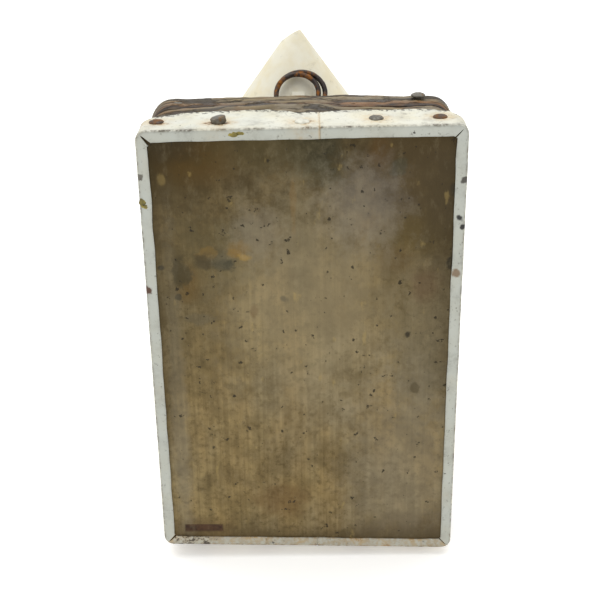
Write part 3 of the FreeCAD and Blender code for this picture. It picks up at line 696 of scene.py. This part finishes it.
def makeEdging(name, side, look):
    low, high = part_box("front_board")
    spots, outs = outlineLoop("front_board", low.y, look["topSeam"], look["step"], look["rounding"])
    count = len(spots)
    below = min(range(count), key=lambda i: (spots[i].y > mm(60), abs(spots[i].x - look["bottomSeam"])))
    lapSteps = round(look["lap"] / look["step"])
    if side > 0:
        path = [i % count for i in range(-lapSteps, below + 1)]
    else:
        path = [i % count for i in range(count, below - 1 - lapSteps, -1)]
    columns, cutAfter = cornerCuts(path, outs)
    skirtRows, bendRows, faceRows = look["skirtRows"], look["bendRows"], look["faceRows"]
    rowCount = skirtRows + bendRows + faceRows
    strip = startPiece(name, bpy.ops.mesh.primitive_grid_add, x_subdivisions=len(columns) - 1,
                       y_subdivisions=rowCount, size=1)
    bpy.ops.object.mode_set(mode="EDIT")
    wide = len(columns) - 1

    def isSlot(face):
        middle = face.calc_center_median()
        column = (middle.x + 0.5) * wide - 0.5
        row = (middle.y + 0.5) * rowCount
        return row > skirtRows + 2 and any(abs(column - cut) < 0.2 for cut in cutAfter)

    pickFaces(strip, isSlot)
    bpy.ops.mesh.delete(type="FACE")
    bpy.ops.object.mode_set(mode="OBJECT")
    middleX = (low.x + high.x) / 2
    half = look["tin"] / 2
    bend = look["bend"]
    front = low.y - half
    lift = half + mm(0.02)
    clear = high.y - low.y - mm(1.2)      # low down the strip stops short of the leather's fold
    legSteps = round(mm(14) / look["step"])
    innerCorners = []
    for cut in cutAfter:
        lines = []
        for leg in (max(0, cut - legSteps), min(wide, cut + 1 + legSteps)):
            legOut = outs[columns[leg]]
            lines.append((legOut, spots[columns[leg]].dot(legOut) - look["face"]))
        innerCorners.append(crossingOf(*lines))
    marks = []
    tackSpots = [(tackLow + tackHigh) / 2 for group in ("top_tacks", "side_tacks", "bottom_tacks")
                 for tackLow, tackHigh in looseParts(group)]
    for vert in strip.data.vertices:
        column = round((vert.co.x + 0.5) * wide)
        row = round((vert.co.y + 0.5) * rowCount)
        index = columns[column]
        spot, out = spots[index], outs[index]
        depth = mm(21) + mm(2.2) * wobble(Vector((spot.x, 0, spot.y)), mm(26), 3 * side)
        if out.y > 0.6 or (spot.y > mm(200) and abs(out.y) > 0.15):
            depth = mm(rampAt(look["topDepth"], spot.x * 1000))
        depth += mm(0.5) * wobble(Vector((spot.x, spot.y, 0)), mm(3.5), 5)
        nearBottom = max(0.0, min(1.0, (mm(16) - spot.y) / mm(6)))
        depth += (min(depth, clear) - depth) * nearBottom
        inset = 0.0
        if row <= skirtRows:
            share = (row / skirtRows) ** 0.85
            y = low.y + depth + (bend - half - depth) * share
            offset = lift
        elif row <= skirtRows + bendRows:
            turn = math.pi / 2 * (row - skirtRows) / bendRows
            offset = lift - bend * (1 - math.cos(turn))
            y = front + bend * (1 - math.sin(turn))
        else:
            inset = (row - skirtRows - bendRows) / faceRows * (look["face"] - bend)
            offset = lift - bend - inset
            y = front
        point = Vector((spot.x + out.x * offset, y, spot.y + out.y * offset))
        onFace = max(0.0, min(1.0, (inset + bend) / look["face"])) if row > skirtRows else 0.0
        # hand-dressed tin never lies quite flat
        dent = look["dents"] * (wobble(point, mm(14), 2) + 0.5 * wobble(point, mm(5), 6))
        if row <= skirtRows:
            loose = 1 - row / skirtRows
            point.x += out.x * dent * (0.5 + loose)
            point.z += out.y * dent * (0.5 + loose)
        else:
            ripple = mm(0.35) * wobble(Vector((spot.x, 0, spot.y)), mm(11), 9) * onFace
            point.x -= out.x * ripple
            point.z -= out.y * ripple
            point.y += abs(dent) * 1.2
        if row > skirtRows + bendRows:
            for cut, innerCorner in zip(cutAfter, innerCorners):
                if abs(column - cut - 0.5) * look["step"] > look["mitreReach"]:
                    continue
                which = -1 if column <= cut else 1
                cutSpot = spots[columns[cut]]
                outer, inner = look["slots"][cutSpot.x > middleX, cutSpot.y > mm(100)]
                leg = max(0, min(wide, cut + which * legSteps))
                away = (spots[columns[leg]] - innerCorner)
                away -= outs[columns[leg]] * away.dot(outs[columns[leg]])
                away.normalize()
                share = (row - skirtRows - bendRows) / faceRows
                start = spot + out * (lift - bend)
                if column in (cut, cut + 1):
                    start += away * mm(outer / 2)
                place = start.lerp(innerCorner + away * mm(inner / 2), share)
                point.x, point.z = place
        # the under end of each lap is pressed into the wood
        fromEnd = column if side > 0 else wide - column
        if fromEnd <= lapSteps:
            if row > skirtRows + bendRows // 2:
                point.y += mm(0.5)
            else:
                point.x -= out.x * mm(0.5)
                point.z -= out.y * mm(0.5)
        vert.co = point
        atTop, atBottom = out.y > 0.6, out.y < -0.6
        marks.append(tinWear(point, row, onFace, atTop, atBottom, tackSpots, look))
    keepMasks(strip, ("dirtAndShade", "rust", "bare", "face"), marks)
    editAll(strip, bpy.ops.mesh.remove_doubles, threshold=mm(0.01))
    faceOutward(strip)
    sample = strip.data.polygons[len(strip.data.polygons) // 2]
    inside = Vector((middleX, sample.center.y + mm(30), (low.z + high.z) / 2))
    if sample.normal.dot(sample.center - inside) < 0:
        editAll(strip, bpy.ops.mesh.flip_normals)
    addModifier(strip, "SOLIDIFY", thickness=look["tin"], offset=0)
    applyModifiers(strip)
    smoothByAngle(strip, 40)
    return strip


edgingLeft = makeEdging("edgingLeft", -1, edgingLook)
edgingRight = makeEdging("edgingRight", 1, edgingLook)
finishPiece(edgingLeft, finishes["tin"], "moving_board", "white_paint", "edging_left")
finishPiece(edgingRight, finishes["tin"], "moving_board", "white_paint", "edging_right")
print("tin edging folded")


leatherLook = {
    "hide": mm(1.3), "step": mm(1.5), "rows": 60, "floorGap": mm(0.9), "foldPitch": 2.7, "arcPitch": 2.3,
    # how the hide lies from the front board to the back one: y, height over the back board's leather, in mm
    "lie": [(-94.0, -1.2), (-88.0, -1.0), (-83.5, 0.2), (-80.0, 1.4), (-77.6, 0.8), (-76.3, -2.0),
            (-75.4, -4.0), (-74.7, -1.6), (-73.4, 0.2), (-70.5, 1.2), (-66.0, 1.8), (-62.8, 1.7),
            (-61.7, 0.4), (-61.6, -2.0), (-61.9, -4.5)],
    # how the top rises beside the tin and sags over the back board, from left to right: x in mm, height
    "rise": [(-64, -0.8), (-36, 0.6), (-28, 1.5), (8, 1.7), (22, -0.3), (70, -0.8)],
    "sag": [(-60, -0.3), (-20, 0), (8, 1), (66, -1)],
}


def makeLeather(look):
    backLow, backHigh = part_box("fixed_board_leather")
    spots, outs = outlineLoop("fixed_board_leather", backLow.y, (backLow.x + backHigh.x) / 2, look["step"])
    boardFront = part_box("front_board")[0].y
    board = outlineLoop("front_board", boardFront, (backLow.x + backHigh.x) / 2, look["step"])[0]
    count = len(spots)
    rows = look["rows"]
    hide = startPiece("bellowsLeather", bpy.ops.mesh.primitive_grid_add, x_subdivisions=count,
                      y_subdivisions=rows, size=1)
    lie = look["lie"]
    lengths = [0.0]
    for (y0, h0), (y1, h1) in zip(lie, lie[1:]):
        lengths.append(lengths[-1] + math.hypot(y1 - y0, h1 - h0))
    marks = []
    turns = []
    for vert in hide.data.vertices:
        column = round((vert.co.x + 0.5) * count) % count
        row = round((vert.co.y + 0.5) * rows)
        along = lengths[-1] * row / rows
        k = 0
        while k < len(lengths) - 2 and lengths[k + 1] < along:
            k += 1
        share = (along - lengths[k]) / (lengths[k + 1] - lengths[k])
        y = lie[k][0] + (lie[k + 1][0] - lie[k][0]) * share
        height = lie[k][1] + (lie[k + 1][1] - lie[k][1]) * share
        spot, out = spots[column], outs[column]
        front = board[round(column * len(board) / count) % len(board)]
        forward = max(0.0, min(1.0, (mm(-74) - mm(y)) / mm(20)))
        bottom = max(0.0, -out.y)
        top = max(0.0, out.y)
        place = Vector((spot.x, 0, spot.y))
        corner = min(1.0, 2.2 * abs(out.x * out.y))
        # the edge of the front board is wider than the hide, and lower down it is further in
        gap = (front - spot).dot(out) - mm(1.3)
        offset = mm(height) + forward * min(gap, mm(3.0)) * (0.55 if top > 0.5 else 0.8)
        nearTin = math.exp(-((y + 79.5) / 3.2) ** 2)
        if top > 0.3:
            offset += nearTin * mm(rampAt(look["rise"], spot.x * 1000))
            offset += math.exp(-((y + 66) / 6) ** 2) * mm(0.5) * rampAt(look["sag"], spot.x * 1000)
        folds = math.sin((y + 1.5 * wobble(place, mm(22), 3)) * 2 * math.pi / look["foldPitch"])
        offset += mm(0.34 - 0.22 * corner) * folds * (1 if -93 < y < -63 else 0)
        calm = 1 - 0.75 * corner
        offset += mm(0.55) * wobble(place + Vector((0, mm(y) * 3.0, 0)), mm(13), 5) * calm
        offset += mm(0.30) * wobble(place + Vector((0, mm(y) * 2.0, 0)), mm(3.5), 9) * calm
        # the hide dips into a valley here, and the valley mask paints it dark as painted shade
        valley = math.exp(-((y + 75.2 + 0.7 * wobble(place, mm(9), 11)) / 1.7) ** 2)
        offset -= mm(1.2) * valley * max(0, wobble(place, mm(12), 15))
        if -94.5 < y < -62.5 and forward == 0:
            offset = max(offset, mm(0.1 - 0.3 * bottom))
        point = Vector((spot.x + out.x * offset, mm(y), spot.y + out.y * offset))
        point.y += mm(0.5) * wobble(place, mm(8), 21) * (calm if y > -80 else 0.3 * calm)
        point.y = min(point.y, mm(-61.3))
        if bottom > 0.2:
            point.z = max(point.z, look["floorGap"])
        vert.co = point
        # ridge marks the fold tops, which the leather finish paints lighter as rubbed wear and painted
        # highlight
        ridge = max(0.0, folds) * 0.7 + 0.3
        torn = max(0.0, wobble(place, mm(10), 23) - 0.05) * 2.4 * math.exp(-((y + 73.2) / 1.8) ** 2)
        if mm(38) < spot.x < mm(64) and top > 0.5:
            torn += 0.6 * math.exp(-((y + 72.8) / 2.0) ** 2)
        # fold troughs, the arcs of the gathered corner folds and the crease line join the valley mask:
        # painted shade of the folds, where the hide is also cracked along the crease
        grooves = max(0.0, -folds - 0.3) * (0.9 + 0.8 * corner) * (0.75 + wobble(place, mm(16), 31))
        arcs = max(0.0, math.sin(y * 2 * math.pi / look["arcPitch"] + 2.5 * wobble(place, mm(6), 41)))
        grooves += 1.3 * corner * arcs ** 3
        crease = math.exp(-((y + 73.0 + 1.6 * wobble(place, mm(7), 33)) / 0.6) ** 2)
        crease *= max(0.0, min(1.0, 1.0 + 1.6 * wobble(place, mm(5), 35)))
        torn += 1.1 * math.exp(-((y + 72.4 + 1.2 * wobble(place, mm(9), 37)) / 1.5) ** 2)
        turns.append(min(1.0, corner * 1.2))
        marks.append((valley + grooves + crease, ridge, torn))
    keepMasks(hide, ("valley", "ridge", "torn"), marks)
    faceOutward(hide)
    probe = max(hide.data.polygons, key=lambda face: face.center.z)
    if probe.normal.z < 0:
        editAll(hide, bpy.ops.mesh.flip_normals)
    corners = hide.vertex_groups.new(name="corners")
    for i, weight in enumerate(turns):
        corners.add([i], weight, "REPLACE")
    addModifier(hide, "SMOOTH", factor=0.6, iterations=7, vertex_group="corners")
    addModifier(hide, "SOLIDIFY", thickness=look["hide"], offset=-1)
    applyModifiers(hide)
    smoothByAngle(hide, 60)
    return hide


leather = makeLeather(leatherLook)
finishPiece(leather, finishes["leather"], None, "old_leather", "bellows_leather", "fixed_board_leather")
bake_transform(leather)
print("leather stretched")


tackLook = {"radius": mm(3.2), "flatten": 0.34, "ragged": 0.10, "shank": mm(3)}


def modelTack(look):
    radius = look["radius"]
    tack = startPiece("tackModel", bpy.ops.mesh.primitive_uv_sphere_add, segments=22, ring_count=12,
                      radius=radius)
    bpy.ops.object.mode_set(mode="EDIT")
    bpy.ops.mesh.select_all(action="SELECT")
    bpy.ops.mesh.bisect(plane_co=(0, 0, 0), plane_no=(0, 0, 1), clear_inner=True, use_fill=True)
    pickFaces(tack, lambda face: face.normal.z < -0.9)
    bpy.ops.mesh.extrude_region_move(TRANSFORM_OT_translate={"value": (0, 0, -radius * 0.22)})
    bpy.ops.mesh.inset(thickness=radius * 0.62, depth=0)
    bpy.ops.mesh.extrude_region_move(TRANSFORM_OT_translate={"value": (0, 0, -look["shank"])})
    bpy.ops.object.mode_set(mode="OBJECT")
    addModifier(tack, "SUBSURF", levels=1, render_levels=1)
    applyModifiers(tack)
    smoothByAngle(tack, 60)
    return tack


tackModel = modelTack(tackLook)


def makeTack(name, centre, outward, seed, finish, body, tilt, look):
    tack = ownCopy(tackModel, name)
    flatten = look["flatten"] * (0.85 + 0.4 * random.Random(seed).random())
    flatten *= 0.5 if tilt else 1.0
    turn = Matrix.Rotation(tilt, 3, "Y") @ Vector((0, 0, 1)).rotation_difference(outward).to_matrix()
    for vert in tack.data.vertices:
        co = vert.co.copy()
        if co.z > -look["radius"] * 0.3:
            angle = math.atan2(co.y, co.x)
            around = Vector((math.cos(angle) * 1.6, math.sin(angle) * 1.6, seed))
            edge = 1 + look["ragged"] * noise.noise(around)
            co.x *= edge
            co.y *= edge
            if co.z > 0:
                beaten = 1 + 0.22 * noise.noise(Vector((co.x, co.y, seed * mm(1))) / mm(1.3))
                co.z *= flatten * beaten
            elif tilt:
                co.z -= mm(1.9)
        point = turn @ co + centre
        point.x = max(cadLow.x, min(cadHigh.x, point.x))
        point.z = max(cadLow.z, point.z)
        vert.co = point
    finishPiece(tack, finish, body, "rusty_steel")
    return tack


def nailRow(node, label, body, outwardFor, choose, sink=mm(0.9), proudFrom=None):
    for i, (low, high) in enumerate(sorted(looseParts(node), key=lambda part: (part[0].x, part[0].z))):
        outward = outwardFor(low, high)
        centre = (low + high) / 2
        for axis in range(3):
            if abs(outward[axis]) > 0.9:
                centre[axis] = high[axis] if outward[axis] > 0 else low[axis]
        isProud = node == "top_tacks" and high.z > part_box("front_board")[1].z + mm(2.4)
        centre -= outward * (sink + (mm(0.7) if isProud else 0))
        if proudFrom and outward.z > 0.9:
            centre.z += mm(1.6) if centre.x > proudFrom else mm(-1.0)
        tilt = math.radians(-14) if isProud else 0.0
        makeTack(f"{label}{i + 1}", centre, outward, i * 3 + 1, choose(i), body, tilt, tackLook)
    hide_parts(node)


topFinishes = ["tack", "greyTack", "whiteTack", "greyTack", "tack"]
nailRow("top_tacks", "topTack", "moving_board", lambda low, high: Vector((0, 0, 1)),
        lambda i: finishes[topFinishes[i % 5]])
nailRow("side_tacks", "sideTack", "moving_board",
        lambda low, high: Vector((1 if low.x > 0 else -1, 0, 0)), lambda i: finishes["whiteTack"])
nailRow("bottom_tacks", "bottomTack", "moving_board", lambda low, high: Vector((0, 0, -1)),
        lambda i: finishes["tack"])
print("tacks driven")


def edgeOutward(low, high):
    backLow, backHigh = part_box("fixed_board")
    middle = (low + high) / 2
    gaps = {(0, 0, 1): backHigh.z - middle.z, (0, 0, -1): middle.z - backLow.z,
            (1, 0, 0): backHigh.x - middle.x, (-1, 0, 0): middle.x - backLow.x}
    return Vector(min(gaps, key=lambda way: gaps[way]))


nailRow("fixed_board_tacks", "fixedBoardTack", "pot", edgeOutward, lambda i: finishes["greyTack"],
        sink=mm(-0.2), proudFrom=mm(50))
bpy.data.objects.remove(tackModel)


def ringStack(name, rings, segments=112, closeBottom=False):
    # rings of radius and height, pulled up one from the next
    radius, height = rings[0]
    piece = startPiece(name, bpy.ops.mesh.primitive_circle_add, vertices=segments, radius=radius,
                       location=(0, 0, height), fill_type="NGON" if closeBottom else "NOTHING")
    bpy.ops.object.mode_set(mode="EDIT")
    bpy.ops.mesh.select_all(action="SELECT")
    for nextRadius, nextHeight in rings[1:]:
        if closeBottom and nextHeight == rings[1][1] and nextRadius == rings[1][0]:
            bpy.ops.mesh.extrude_region_move(TRANSFORM_OT_translate={"value": (0, 0, nextHeight - height)})
        else:
            bpy.ops.mesh.extrude_edges_move(TRANSFORM_OT_translate={"value": (0, 0, nextHeight - height)})
        scale = nextRadius / radius
        bpy.ops.transform.resize(value=(scale, scale, 1), center_override=(0, 0, nextHeight))
        radius, height = nextRadius, nextHeight
    bpy.ops.object.mode_set(mode="OBJECT")
    return piece


def wallWithThickness(piece, sheet, outside, inside):
    faceOutward(piece)
    probe = max(piece.data.polygons, key=lambda face: face.center.x)
    if probe.normal.x < 0:
        editAll(piece, bpy.ops.mesh.flip_normals)
    piece.data.materials.append(outside)
    piece.data.materials.append(inside)
    addModifier(piece, "SOLIDIFY", thickness=sheet, offset=-1, material_offset=1)
    applyModifiers(piece)
    smoothByAngle(piece, 40)


potLook = {"sheet": mm(0.8), "dents": mm(0.35), "seamWidth": mm(6), "seamHeight": mm(0.7)}


def makePotWall(look):
    low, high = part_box("pot_wall")
    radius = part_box("lid_cone")[1].x - mm(1.7)
    top = high.z
    levels = [low.z + (top - low.z) * i / 54 for i in range(55)]
    rings = [(radius, level) for level in levels]
    wall = ringStack("potWall", rings, 180)
    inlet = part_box("air_inlet")
    inletZ = (inlet[0].z + inlet[1].z) / 2
    inletRadius = (inlet[1].x - inlet[0].x) / 2 - mm(1.2)
    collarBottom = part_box("lid_collar")[0].z
    for vert in wall.data.vertices:
        out = Vector((vert.co.x, vert.co.y, 0)).normalized()
        push = look["dents"] * 0.6 * wobble(vert.co, mm(34), 3)
        fromSeam = abs(vert.co.y)
        if vert.co.x > 0 and fromSeam < look["seamWidth"] / 2 and mm(10) < vert.co.z < collarBottom - mm(3):
            push += look["seamHeight"]
        if vert.co.z > collarBottom - mm(4) or vert.co.z < mm(12):
            push = 0
        vert.co += out * push
    pickOnly(wall)
    bpy.ops.object.mode_set(mode="EDIT")
    pickFaces(wall, lambda face: face.calc_center_median().y < 0 and math.hypot(
        face.calc_center_median().x, face.calc_center_median().z - inletZ) < inletRadius - mm(1.2))
    bpy.ops.mesh.delete(type="FACE")
    bpy.ops.object.mode_set(mode="OBJECT")
    wallWithThickness(wall, look["sheet"], finishes["pot"], finishes["soot"])
    return wall


potWall = makePotWall(potLook)
finishPiece(potWall, [finishes["pot"], finishes["soot"]], "pot", "cream_paint", "pot_wall")

coneHalfAngle = math.radians(35.6)
lidLook = {"sheet": mm(0.8), "seamAngle": 118, "seamWidth": mm(4.5), "seamHeight": mm(0.5), "dents": mm(0.4),
           "mouthRise": (0.6, -0.45), "mouthLeft": mm(222.5)}


def makeLidCone(look):
    low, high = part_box("lid_cone")
    base = high.x
    slope = math.tan(coneHalfAngle)
    apex = low.z + base / slope
    rings = []
    for i in range(46):
        height = low.z + (apex - mm(2.6) - low.z) * i / 45
        rings.append(((apex - height) * slope, height))
    cone = ringStack("lidCone", rings, 180)
    leftHeight = look["mouthLeft"]
    leftX = -(apex - leftHeight) * slope
    riseX, riseY = look["mouthRise"]
    for vert in cone.data.vertices:
        out = Vector((vert.co.x, vert.co.y, 0)).normalized()
        angle = math.degrees(math.atan2(vert.co.y, vert.co.x))
        radius = math.hypot(vert.co.x, vert.co.y)
        push = look["dents"] * 0.5 * wobble(vert.co, mm(26), 6) * min(1, radius / mm(30))
        along = abs((angle - look["seamAngle"] + 180) % 360 - 180) * math.pi / 180 * radius
        if along < look["seamWidth"] / 2 and radius > mm(4):
            push += look["seamHeight"]
        if vert.co.z < low.z + mm(2):
            push = 0
        vert.co += out * push
    normal = Vector((-riseX, -riseY, 1)).normalized()
    editAll(cone, bpy.ops.mesh.bisect, plane_co=(leftX, 0, leftHeight), plane_no=normal, clear_outer=True)
    wallWithThickness(cone, look["sheet"], finishes["lid"], finishes["soot"])
    return cone


lidCone = makeLidCone(lidLook)
finishPiece(lidCone, [finishes["lid"], finishes["soot"]], "lid", "cream_paint", "lid_cone")


def makeCollar():
    low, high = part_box("lid_collar")
    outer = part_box("lid_cone")[1].x
    bead = high.x - outer
    rings = [(outer + bead * math.sin(math.pi * i / 8), low.z + mm(1.6) * i / 8) for i in range(9)]
    rings += [(outer, low.z + mm(1.6) + (high.z - low.z - mm(1.6)) * i / 6) for i in range(1, 7)]
    collar = ringStack("lidCollar", rings, 180)
    wallWithThickness(collar, mm(0.8), finishes["lid"], finishes["soot"])
    return collar


lidCollar = makeCollar()
finishPiece(lidCollar, [finishes["lid"], finishes["soot"]], "lid", "cream_paint", "lid_collar")


ringLook = {"wire": mm(1.2), "turns": 2.15, "steps": 150, "widen": mm(1.55), "sprung": mm(0.75)}


def makeLiftRing(look):
    low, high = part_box("lift_ring")
    spots = [v.co.copy() for v in nodes["lift_ring"].data.vertices]
    centre = (low + high) / 2 + Vector((0, 0, look["sprung"]))
    radius = (high.x - low.x) / 2 - look["wire"] + look["sprung"]
    lean = coneHalfAngle + math.radians(3)      # the ring lies a little off the cone
    up = Vector((0, math.sin(lean), math.cos(lean)))
    out = Vector((0, -math.cos(lean), math.sin(lean)))
    depth = max((spot - centre).dot(out) for spot in spots) - look["wire"]
    curve = bpy.data.curves.new("liftRing", "CURVE")
    curve.dimensions = "3D"
    curve.bevel_depth = look["wire"]
    curve.bevel_resolution = 5
    curve.use_fill_caps = True
    line = curve.splines.new("POLY")
    line.points.add(look["steps"] - 1)
    for i in range(look["steps"]):
        share = i / (look["steps"] - 1)
        angle = math.radians(150) - share * look["turns"] * 2 * math.pi
        inner = max(0.0, min(1.0, 1 - (share - 0.36) / 0.2))
        inner = inner * inner * (3 - 2 * inner)
        reach = radius - look["widen"] * inner + mm(0.2) * math.sin(angle * 2 + 1)
        spread = depth * (1 - 2 * share)
        middle = centre + Vector((-look["widen"] * inner, 0, 0))
        across = Vector((1, 0, 0)) * math.cos(angle) * reach
        point = middle + across + up * math.sin(angle) * reach + out * spread
        line.points[i].co = (*point, 1)
    ring = bpy.data.objects.new("liftRing", curve)
    putInScene(ring)
    pickOnly(ring)
    bpy.ops.object.convert(target="MESH")
    ring = bpy.context.active_object
    for vert in ring.data.vertices:
        vert.co += Vector([wobble(vert.co, mm(1.6), seed) for seed in (1, 2, 3)]) * mm(0.09)
    smoothByAngle(ring, 60)
    return ring


liftRing = makeLiftRing(ringLook)
finishPiece(liftRing, finishes["ring"], "ring", "rusty_steel", "lift_ring")
print("pot and lid spun")


hardware = [      # CAD node, piece, finish, body, slot, width of the eased edge in mm
    ("ring_tab", "ringStrap", "lid", "lid", "cream_paint", 0.2),
    ("ring_tab_rivet", "ringStrapRivet", "lid", "lid", "cream_paint", 0.15),
    ("hinge_leaf_lid", "hingeLeafLid", "hardware", "lid", "rusty_steel", 0.25),
    ("hinge_leaf_pot", "hingeLeafPot", "hardware", "pot", "rusty_steel", 0.25),
    ("hinge_pin", "hingePin", "ring", "pot", "rusty_steel", 0.2),
    ("hinge_rivets_lid", "hingeRivetsLid", "tack", "lid", "rusty_steel", 0.15),
    ("hinge_rivets_pot", "hingeRivetsPot", "tack", "pot", "rusty_steel", 0.15),
    ("bracket_upper", "bracketUpper", "hardware", "pot", "rusty_steel", 0.3),
    ("bracket_lower", "bracketLower", "hardware", "pot", "rusty_steel", 0.3),
    ("bracket_screws", "bracketScrews", "greyTack", "pot", "rusty_steel", 0.2),
    ("bracket_rivets", "bracketRivets", "tack", "pot", "rusty_steel", 0.2),
    ("air_inlet", "airInlet", "hardware", "pot", "sheet_iron", 0.2),
    ("bellows_nozzle", "bellowsNozzle", "hardware", "pot", "sheet_iron", 0.2),
    ("pot_base", "potBase", "soot", "pot", "sheet_iron", 0.2),
    ("base_hoop", "baseHoop", "pot", "pot", "cream_paint", 0.3),
    ("grate_plate", "gratePlate", "soot", "grate", "sheet_iron", 0.2),
    ("grate_legs", "grateLegs", "soot", "grate", "sheet_iron", 0.3),
    ("fixed_board", "fixedBoard", "backWood", "pot", "board_wood", 1.2),
]
for node, name, finishName, body, slotName, bevel in hardware:
    part = softCopy(node, name, mm(bevel))
    finishPiece(part, finishes[finishName], body, slotName, node)
print("hardware eased")


blobs = [(-24.6, -110.1, 209.6, 2.3, 1.0), (-21.9, -110.1, 210.0, 1.5, 0.8), (-63.7, -110.1, 180.8, 1.3, 2.0),
         (-62.6, -110.1, 179.0, 1.2, 1.0)]


def makeBlob(name, x, y, z, wide, tall, seed):
    blob = startPiece(name, bpy.ops.mesh.primitive_ico_sphere_add, subdivisions=4, radius=1)
    for vert in blob.data.vertices:
        lump = 1 + 0.45 * noise.noise(vert.co * 1.9 + Vector((seed, 0, 0)))
        co = vert.co * lump
        vert.co = Vector((mm(x) + co.x * mm(wide), mm(y) + co.y * mm(0.9), mm(z) + co.z * mm(tall)))
        vert.co.y = max(vert.co.y, cadLow.y)
    smoothByAngle(blob, 60)
    finishPiece(blob, finishes["propolis"], "moving_board", "white_paint")


for i, blob in enumerate(blobs):
    makeBlob(f"propolis{i + 1}", *blob, seed=i * 4)


studioLook = {"floor": "#f4f4f2", "glow": 0.32, "world": 0.8, "overheadPower": 17.0, "overheadSize": 1.6,
              "overheadPlace": (-0.15, 0.15, 1.5), "aimHeight": 0.1}


def makeStudio(look):
    floor = startPiece("floor", bpy.ops.mesh.primitive_plane_add, size=12, location=(0, 0, 0))
    finish, tree, shader, place = newFinish("paperFloor", 0.9)
    shader.inputs["Base Color"].default_value = fromHex(look["floor"])
    shader.inputs["Specular IOR Level"].default_value = 0.1
    shader.inputs["Emission Color"].default_value = (1, 1, 1, 1)
    shader.inputs["Emission Strength"].default_value = look["glow"]
    floor.data.materials.append(finish)
    world = bpy.data.worlds.new("studio")
    world.use_nodes = True
    world.node_tree.nodes["Background"].inputs[0].default_value = (1, 1, 1, 1)
    world.node_tree.nodes["Background"].inputs[1].default_value = look["world"]
    bpy.context.scene.world = world
    light = bpy.data.lights.new("overhead", "AREA")
    light.energy = look["overheadPower"]
    light.size = look["overheadSize"]
    lamp = bpy.data.objects.new("overhead", light)
    putInScene(lamp)
    lamp.location = look["overheadPlace"]
    aim = Vector((0, 0, look["aimHeight"])) - lamp.location
    lamp.rotation_euler = aim.to_track_quat("-Z", "Y").to_euler()


makeStudio(studioLook)

cameraLook = {"lens": 70.8, "place": (3.6, -573.1, 347.8), "tiltDown": 24.66, "turn": 0.3, "roll": -0.9}


def placeCamera(look):
    camera = bpy.data.cameras.new("camera")
    camera.lens = look["lens"]
    camera.sensor_width = 36
    camera.clip_start = 0.01
    holder = bpy.data.objects.new("camera", camera)
    putInScene(holder)
    turn = Matrix.Rotation(math.radians(look["turn"]), 4, "Z")
    tilt = Matrix.Rotation(math.radians(90 - look["tiltDown"]), 4, "X")
    roll = Matrix.Rotation(math.radians(look["roll"]), 4, "Z")
    place = Matrix.Translation([mm(c) for c in look["place"]])
    holder.matrix_world = place @ turn @ tilt @ roll
    bpy.context.scene.camera = holder


placeCamera(cameraLook)
bpy.context.scene.view_settings.view_transform = "Standard"
print("studio lit")
